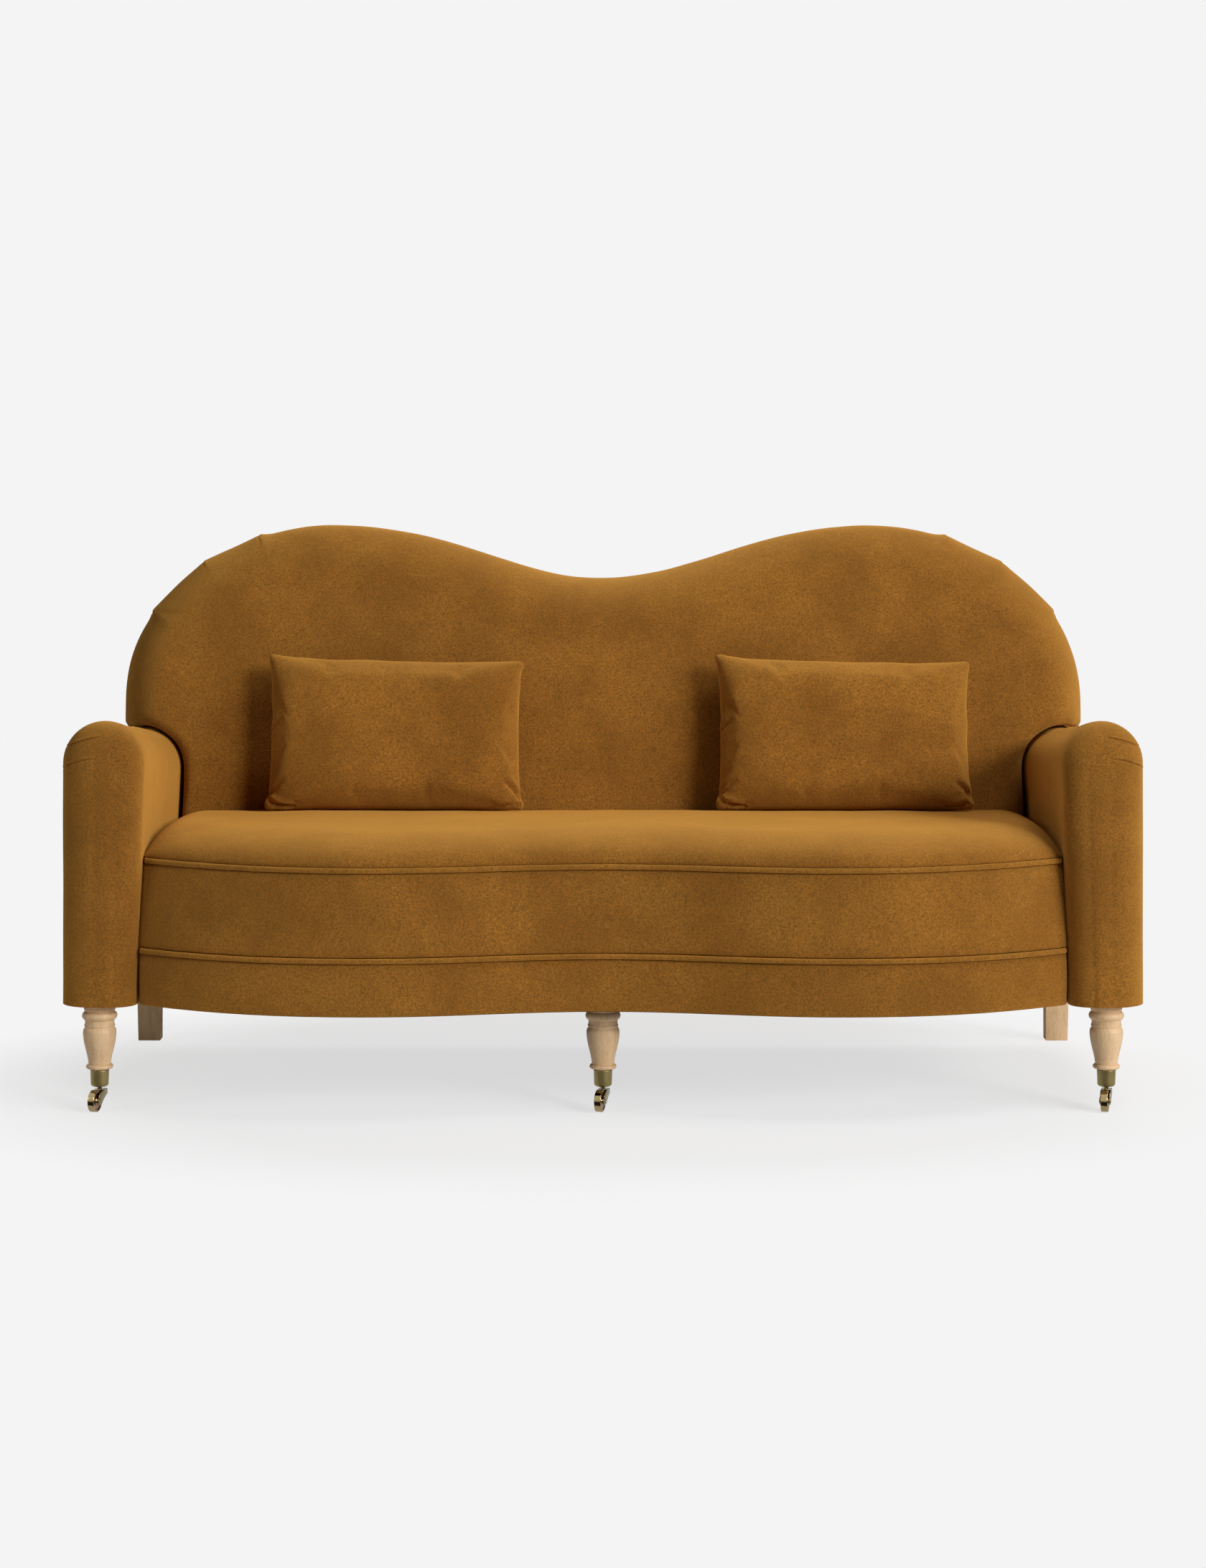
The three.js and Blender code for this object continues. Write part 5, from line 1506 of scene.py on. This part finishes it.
# %% Rear legs
REAR_LEG_DEPTH = 0.036
REAR_LEG_RAKE = 0.030
REAR_LEG_TAPER = 0.005
for side_name, direction in (("left", -1), ("right", 1)):
    node_name = "rear_leg_" + side_name
    low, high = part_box(node_name)
    outer, inner = max(abs(low.x), abs(high.x)), min(abs(low.x), abs(high.x))
    shape = bmesh.new()
    bmesh.ops.create_cube(shape, size=1)
    for corner in shape.verts:
        at_foot = corner.co.z < 0
        x = outer if corner.co.x * direction > 0 else inner + (REAR_LEG_TAPER if at_foot else 0)
        y = low.y + (REAR_LEG_RAKE if at_foot else 0) + (REAR_LEG_DEPTH if corner.co.y > 0 else 0)
        corner.co = (direction * x, y, 0 if at_foot else high.z)
    bmesh.ops.bevel(
        shape, geom=shape.edges[:], offset=0.0018, offset_type="OFFSET", affect="EDGES",
        segments=3, profile=0.5, material=-1, clamp_overlap=True,
    )
    rear_leg = to_object(shape, "square_leg_" + side_name)
    shaded(rear_leg, 50)
    dress(rear_leg, oak, "sofa", [node_name])

# %% [markdown]
# The wooden frame and the bolts are hidden by the upholstery. They could be left grey, but
# they show from below once the lining is off. They stay as they were packed and only get
# their wood and steel.

# %% Wood and steel on the frame's own nodes
hidden = {"frame_wood": pine, "bolt_steel": zinc_steel}
finished = 0
for entry in frame["record"]["subparts"]:
    if entry["material_slot"] in hidden and entry["node"] in frame["nodes"]:
        mesh = frame["nodes"][entry["node"]].data
        mesh.materials.clear()
        mesh.materials.append(hidden[entry["material_slot"]])
        finished += 1
print(finished, "hidden nodes have their wood or steel")

# %% [markdown]
# Lining cloth and jute straps are plain weaves. A drawn pattern would have to be laid out
# on each, but two sets of fine bands that cross, one for each way of the yarn, give the
# weave wherever the cloth lies flat.

# %% Woven cloth
WEAVE_FACTOR = 6.5


def woven(name, warp, weft, pitch):
    material, nodes, shader = new_material(name)
    place = object_coordinates(nodes)
    yarns = []
    for direction in ("X", "Y"):
        inputs = {"Vector": place, "Scale": 1 / (pitch * WEAVE_FACTOR), "Distortion": 0.6}
        yarns.append(add_node(nodes, "TexWave", inputs, bands_direction=direction).outputs["Fac"])
    both = add_node(nodes, "Math", dict(enumerate(yarns)), operation="MULTIPLY").outputs["Value"]
    set_inputs(shader, {
        "Base Color": ramp_node(nodes, both, [(0.0, weft), (1.0, warp)]),
        "Normal": bump_node(nodes, both, pitch / 3, 0.6),
        "Roughness": 0.9,
        "Specular IOR Level": 0.2,
    })
    return material


jute = woven("jute_webbing", (0.42, 0.32, 0.19), (0.22, 0.16, 0.09), 0.004)
black_lining = woven("black_lining", (0.030, 0.029, 0.028), (0.010, 0.010, 0.010), 0.0012)
print("weaves", jute.name, black_lining.name)

# %% [markdown]
# Below the frame a thin black lining is stapled up from rail to rail, and over the rails
# lie jute straps. They could be modelled again, but both are cut to the frame's own
# shapes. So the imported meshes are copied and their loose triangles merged.

# %% Lining and webbing
def merged_copy(node_name, name):
    shape = opened(frame["nodes"][node_name])
    bmesh.ops.remove_doubles(shape, verts=shape.verts[:], dist=1e-5)
    return to_object(shape, name, smooth=False)


under_cloth = merged_copy("dust_cover", "bottom_lining")
dress(under_cloth, black_lining, "sofa", ["dust_cover"])
straps = merged_copy("seat_webbing", "jute_straps")
dress(straps, jute, "sofa", ["seat_webbing"])

# %% [markdown]
# A pale seamless sweep stands for the studio. A plain white floor would turn grey where
# less of the lamps' light falls. So near the sofa the floor is a matt surface that takes
# its shadow, and farther out it fades to the even tone that the camera sees everywhere
# else. Light that bounces meets one pale matt floor, so that the shadow stays soft.

# %% Studio floor
BACKGROUND = (0.905, 0.905, 0.905)
FLOOR_SIZE = 40
FLOOR_EVEN = 0.743
FLOOR_MATT = 0.29
FLOOR_BOUNCE = 0.85
FLOOR_FADE = (0.76, 1.10)
FLOOR_SQUEEZE = (0.8, 1, 1)
floor_shape = bmesh.new()
bmesh.ops.create_grid(floor_shape, x_segments=1, y_segments=1, size=FLOOR_SIZE / 2)
floor = to_object(floor_shape, "studio_floor", smooth=False)
floor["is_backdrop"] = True

floor_look = bpy.data.materials.new("studio_floor")
floor_look.use_nodes = True
nodes = floor_look.node_tree.nodes
nodes.clear()
place = add_node(nodes, "TexCoord").outputs["Object"]
squeezed = add_node(nodes, "VectorMath", {0: place, 1: FLOOR_SQUEEZE}, operation="MULTIPLY")
distance = add_node(nodes, "VectorMath", {0: squeezed.outputs[0]}, operation="LENGTH").outputs["Value"]
path = add_node(nodes, "LightPath")


def ranged(nodes, value, start, end, first, last):
    """Turns a value between start and end into one between first and last."""
    inputs = {"Value": value, "From Min": start, "From Max": end, "To Min": first, "To Max": last}
    return add_node(nodes, "MapRange", inputs).outputs["Result"]


def for_camera(value, otherwise):
    """One value for what the camera sees, and another for light that bounces."""
    inputs = {"Factor": path.outputs["Is Camera Ray"], "A": otherwise, "B": value}
    return add_node(nodes, "Mix", inputs).outputs["Result"]


matt_colour = for_camera(ranged(nodes, distance, *FLOOR_FADE, FLOOR_MATT, 0.0), FLOOR_BOUNCE)
even_strength = for_camera(ranged(nodes, distance, *FLOOR_FADE, FLOOR_EVEN, 1.0), 0.0)
matt = add_node(nodes, "BsdfDiffuse", {"Color": matt_colour})
even = add_node(nodes, "Emission", {"Color": (*BACKGROUND, 1), "Strength": even_strength})
seen_floor = add_node(nodes, "AddShader", {0: matt.outputs["BSDF"], 1: even.outputs["Emission"]})
print("floor fades from", FLOOR_FADE[0], "to", FLOOR_FADE[1], "m from the middle")

# %% [markdown]
# Polished metal shows what stands round it, but nothing dark stands round this sofa. So
# the dark band in the brass is a painted reflection: mirrored rays see a floor of their own,
# pale under the sofa and dark in front of the casters. Its edge runs from the centre caster
# slanting back to the outer ones.

# %% Mirrored floor that paints the reflections in the brass
MIRROR_EDGE = 0.012
MIRROR_BLEND = 0.002
MIRROR_PALE = 0.60
MIRROR_DARK = 0.03
wheel_fronts = [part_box("caster_wheel_" + place_name)[0].y for place_name in ("centre", "right")]
wheel_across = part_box("front_leg_right")[0].x
slant = (wheel_fronts[0] - wheel_fronts[1]) / wheel_across
edge = -wheel_fronts[0] + MIRROR_EDGE
folded_place = add_node(nodes, "VectorMath", {0: place}, operation="ABSOLUTE").outputs[0]
before = add_node(nodes, "VectorMath", {0: folded_place, 1: (-slant, 1, 0)}, operation="DOT_PRODUCT")
painted_reflection_tone = ranged(
    nodes, before.outputs["Value"], edge - MIRROR_BLEND, edge + MIRROR_BLEND, MIRROR_PALE, MIRROR_DARK,
)
# Painted reflection: this glow is seen only in the brass, and it is dark in front of the casters.
painted_reflection_floor = add_node(nodes, "Emission", {"Strength": painted_reflection_tone})
by_ray = add_node(nodes, "MixShader", {
    0: path.outputs["Is Glossy Ray"],
    1: seen_floor.outputs["Shader"],
    2: painted_reflection_floor.outputs["Emission"],
})
add_node(nodes, "OutputMaterial", {"Surface": by_ray.outputs["Shader"]})
floor.data.materials.append(floor_look)
print("mirrored floor turns dark", round(edge, 3), "m before the middle")

# %% [markdown]
# The room beyond the floor is seen in three ways. The camera sees the even background,
# mirrored rays see a ramp from dark at the horizon to pale above, and all other light gets
# next to nothing from it. One colour for all three would flood the velvet with light from
# everywhere and take its shadows away.

# %% World
WORLD_LIGHT = 0.02
REFLECTED_TONES = ((0, 0.02), (0.03, 0.30), (0.12, 0.80), (1, 0.95))
REFLECTED = [(level, (tone, tone, tone)) for level, tone in REFLECTED_TONES]
world = bpy.data.worlds.new("studio")
bpy.context.scene.world = world
world.use_nodes = True
nodes = world.node_tree.nodes
nodes.clear()
path = add_node(nodes, "LightPath")
way = add_node(nodes, "TexCoord").outputs["Generated"]
height = add_node(nodes, "SeparateXYZ", {"Vector": way}).outputs["Z"]


def chosen(ray, first, second):
    """The second shader for one kind of ray, and the first for all the others."""
    return add_node(nodes, "MixShader", {0: path.outputs[ray], 1: first.outputs[0], 2: second.outputs[0]})


dim = add_node(nodes, "Background", {"Color": (1, 1, 1, 1), "Strength": WORLD_LIGHT})
mirrored = add_node(nodes, "Background", {"Color": ramp_node(nodes, height, REFLECTED), "Strength": 1.0})
plain = add_node(nodes, "Background", {"Color": (*BACKGROUND, 1), "Strength": 1.0})
all_rays = chosen("Is Camera Ray", chosen("Is Glossy Ray", dim, mirrored), plain)
add_node(nodes, "OutputWorld", {"Surface": all_rays.outputs[0]})
print("world", world.name, len(nodes), "nodes")

# %% [markdown]
# Velvet lives by light that grazes it. A lamp by the camera would make it flat and dull.
# So two large soft lamps stand far off at the front right, far enough that the left end
# of the sofa gets nearly as much as the right. A small one overhead, a narrow one behind
# the top edge and a weak one at the left keep the rest from going black.

# %% Lamps
LAMPS = [
    ("key", (13.8, -15.0, 8.4), 0.6, (5.5, 5.5), 2060),
    ("side", (16.2, -9.0, 7.6), 0.6, (5.5, 5.5), 1000),
    ("overhead", (2.0, -1.2, 3.8), 0.6, (1.8, 1.8), 48),
    ("rim", (0.4, 1.8, 2.9), 0.8, (3.0, 1.2), 31),
    ("left_fill", (-5.0, -3.0, 2.6), 0.6, (1.8, 1.8), 38),
]


def soft_lamp(name, place, aim_height, size, power):
    """A rectangular lamp that points at the sofa's middle at a height."""
    data = bpy.data.lights.new(name, "AREA")
    data.shape = "RECTANGLE"
    data.size, data.size_y = size
    data.energy = power
    lamp = bpy.data.objects.new(name, data)
    lamp.location = place
    lamp.rotation_euler = (Vector((0, 0, aim_height)) - Vector(place)).to_track_quat("-Z", "Y").to_euler()
    bpy.context.scene.collection.objects.link(lamp)
    return lamp


for lamp in LAMPS:
    soft_lamp(*lamp)
bpy.context.scene.view_settings.view_transform = "Standard"
print(len(LAMPS), "lamps,", sum(lamp[-1] for lamp in LAMPS), "W")

# %% [markdown]
# The box of the visible pieces is measured and printed, which shows the sofa's size.

low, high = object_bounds()
print("visual box", [round(v, 3) for v in (*low, *high)])
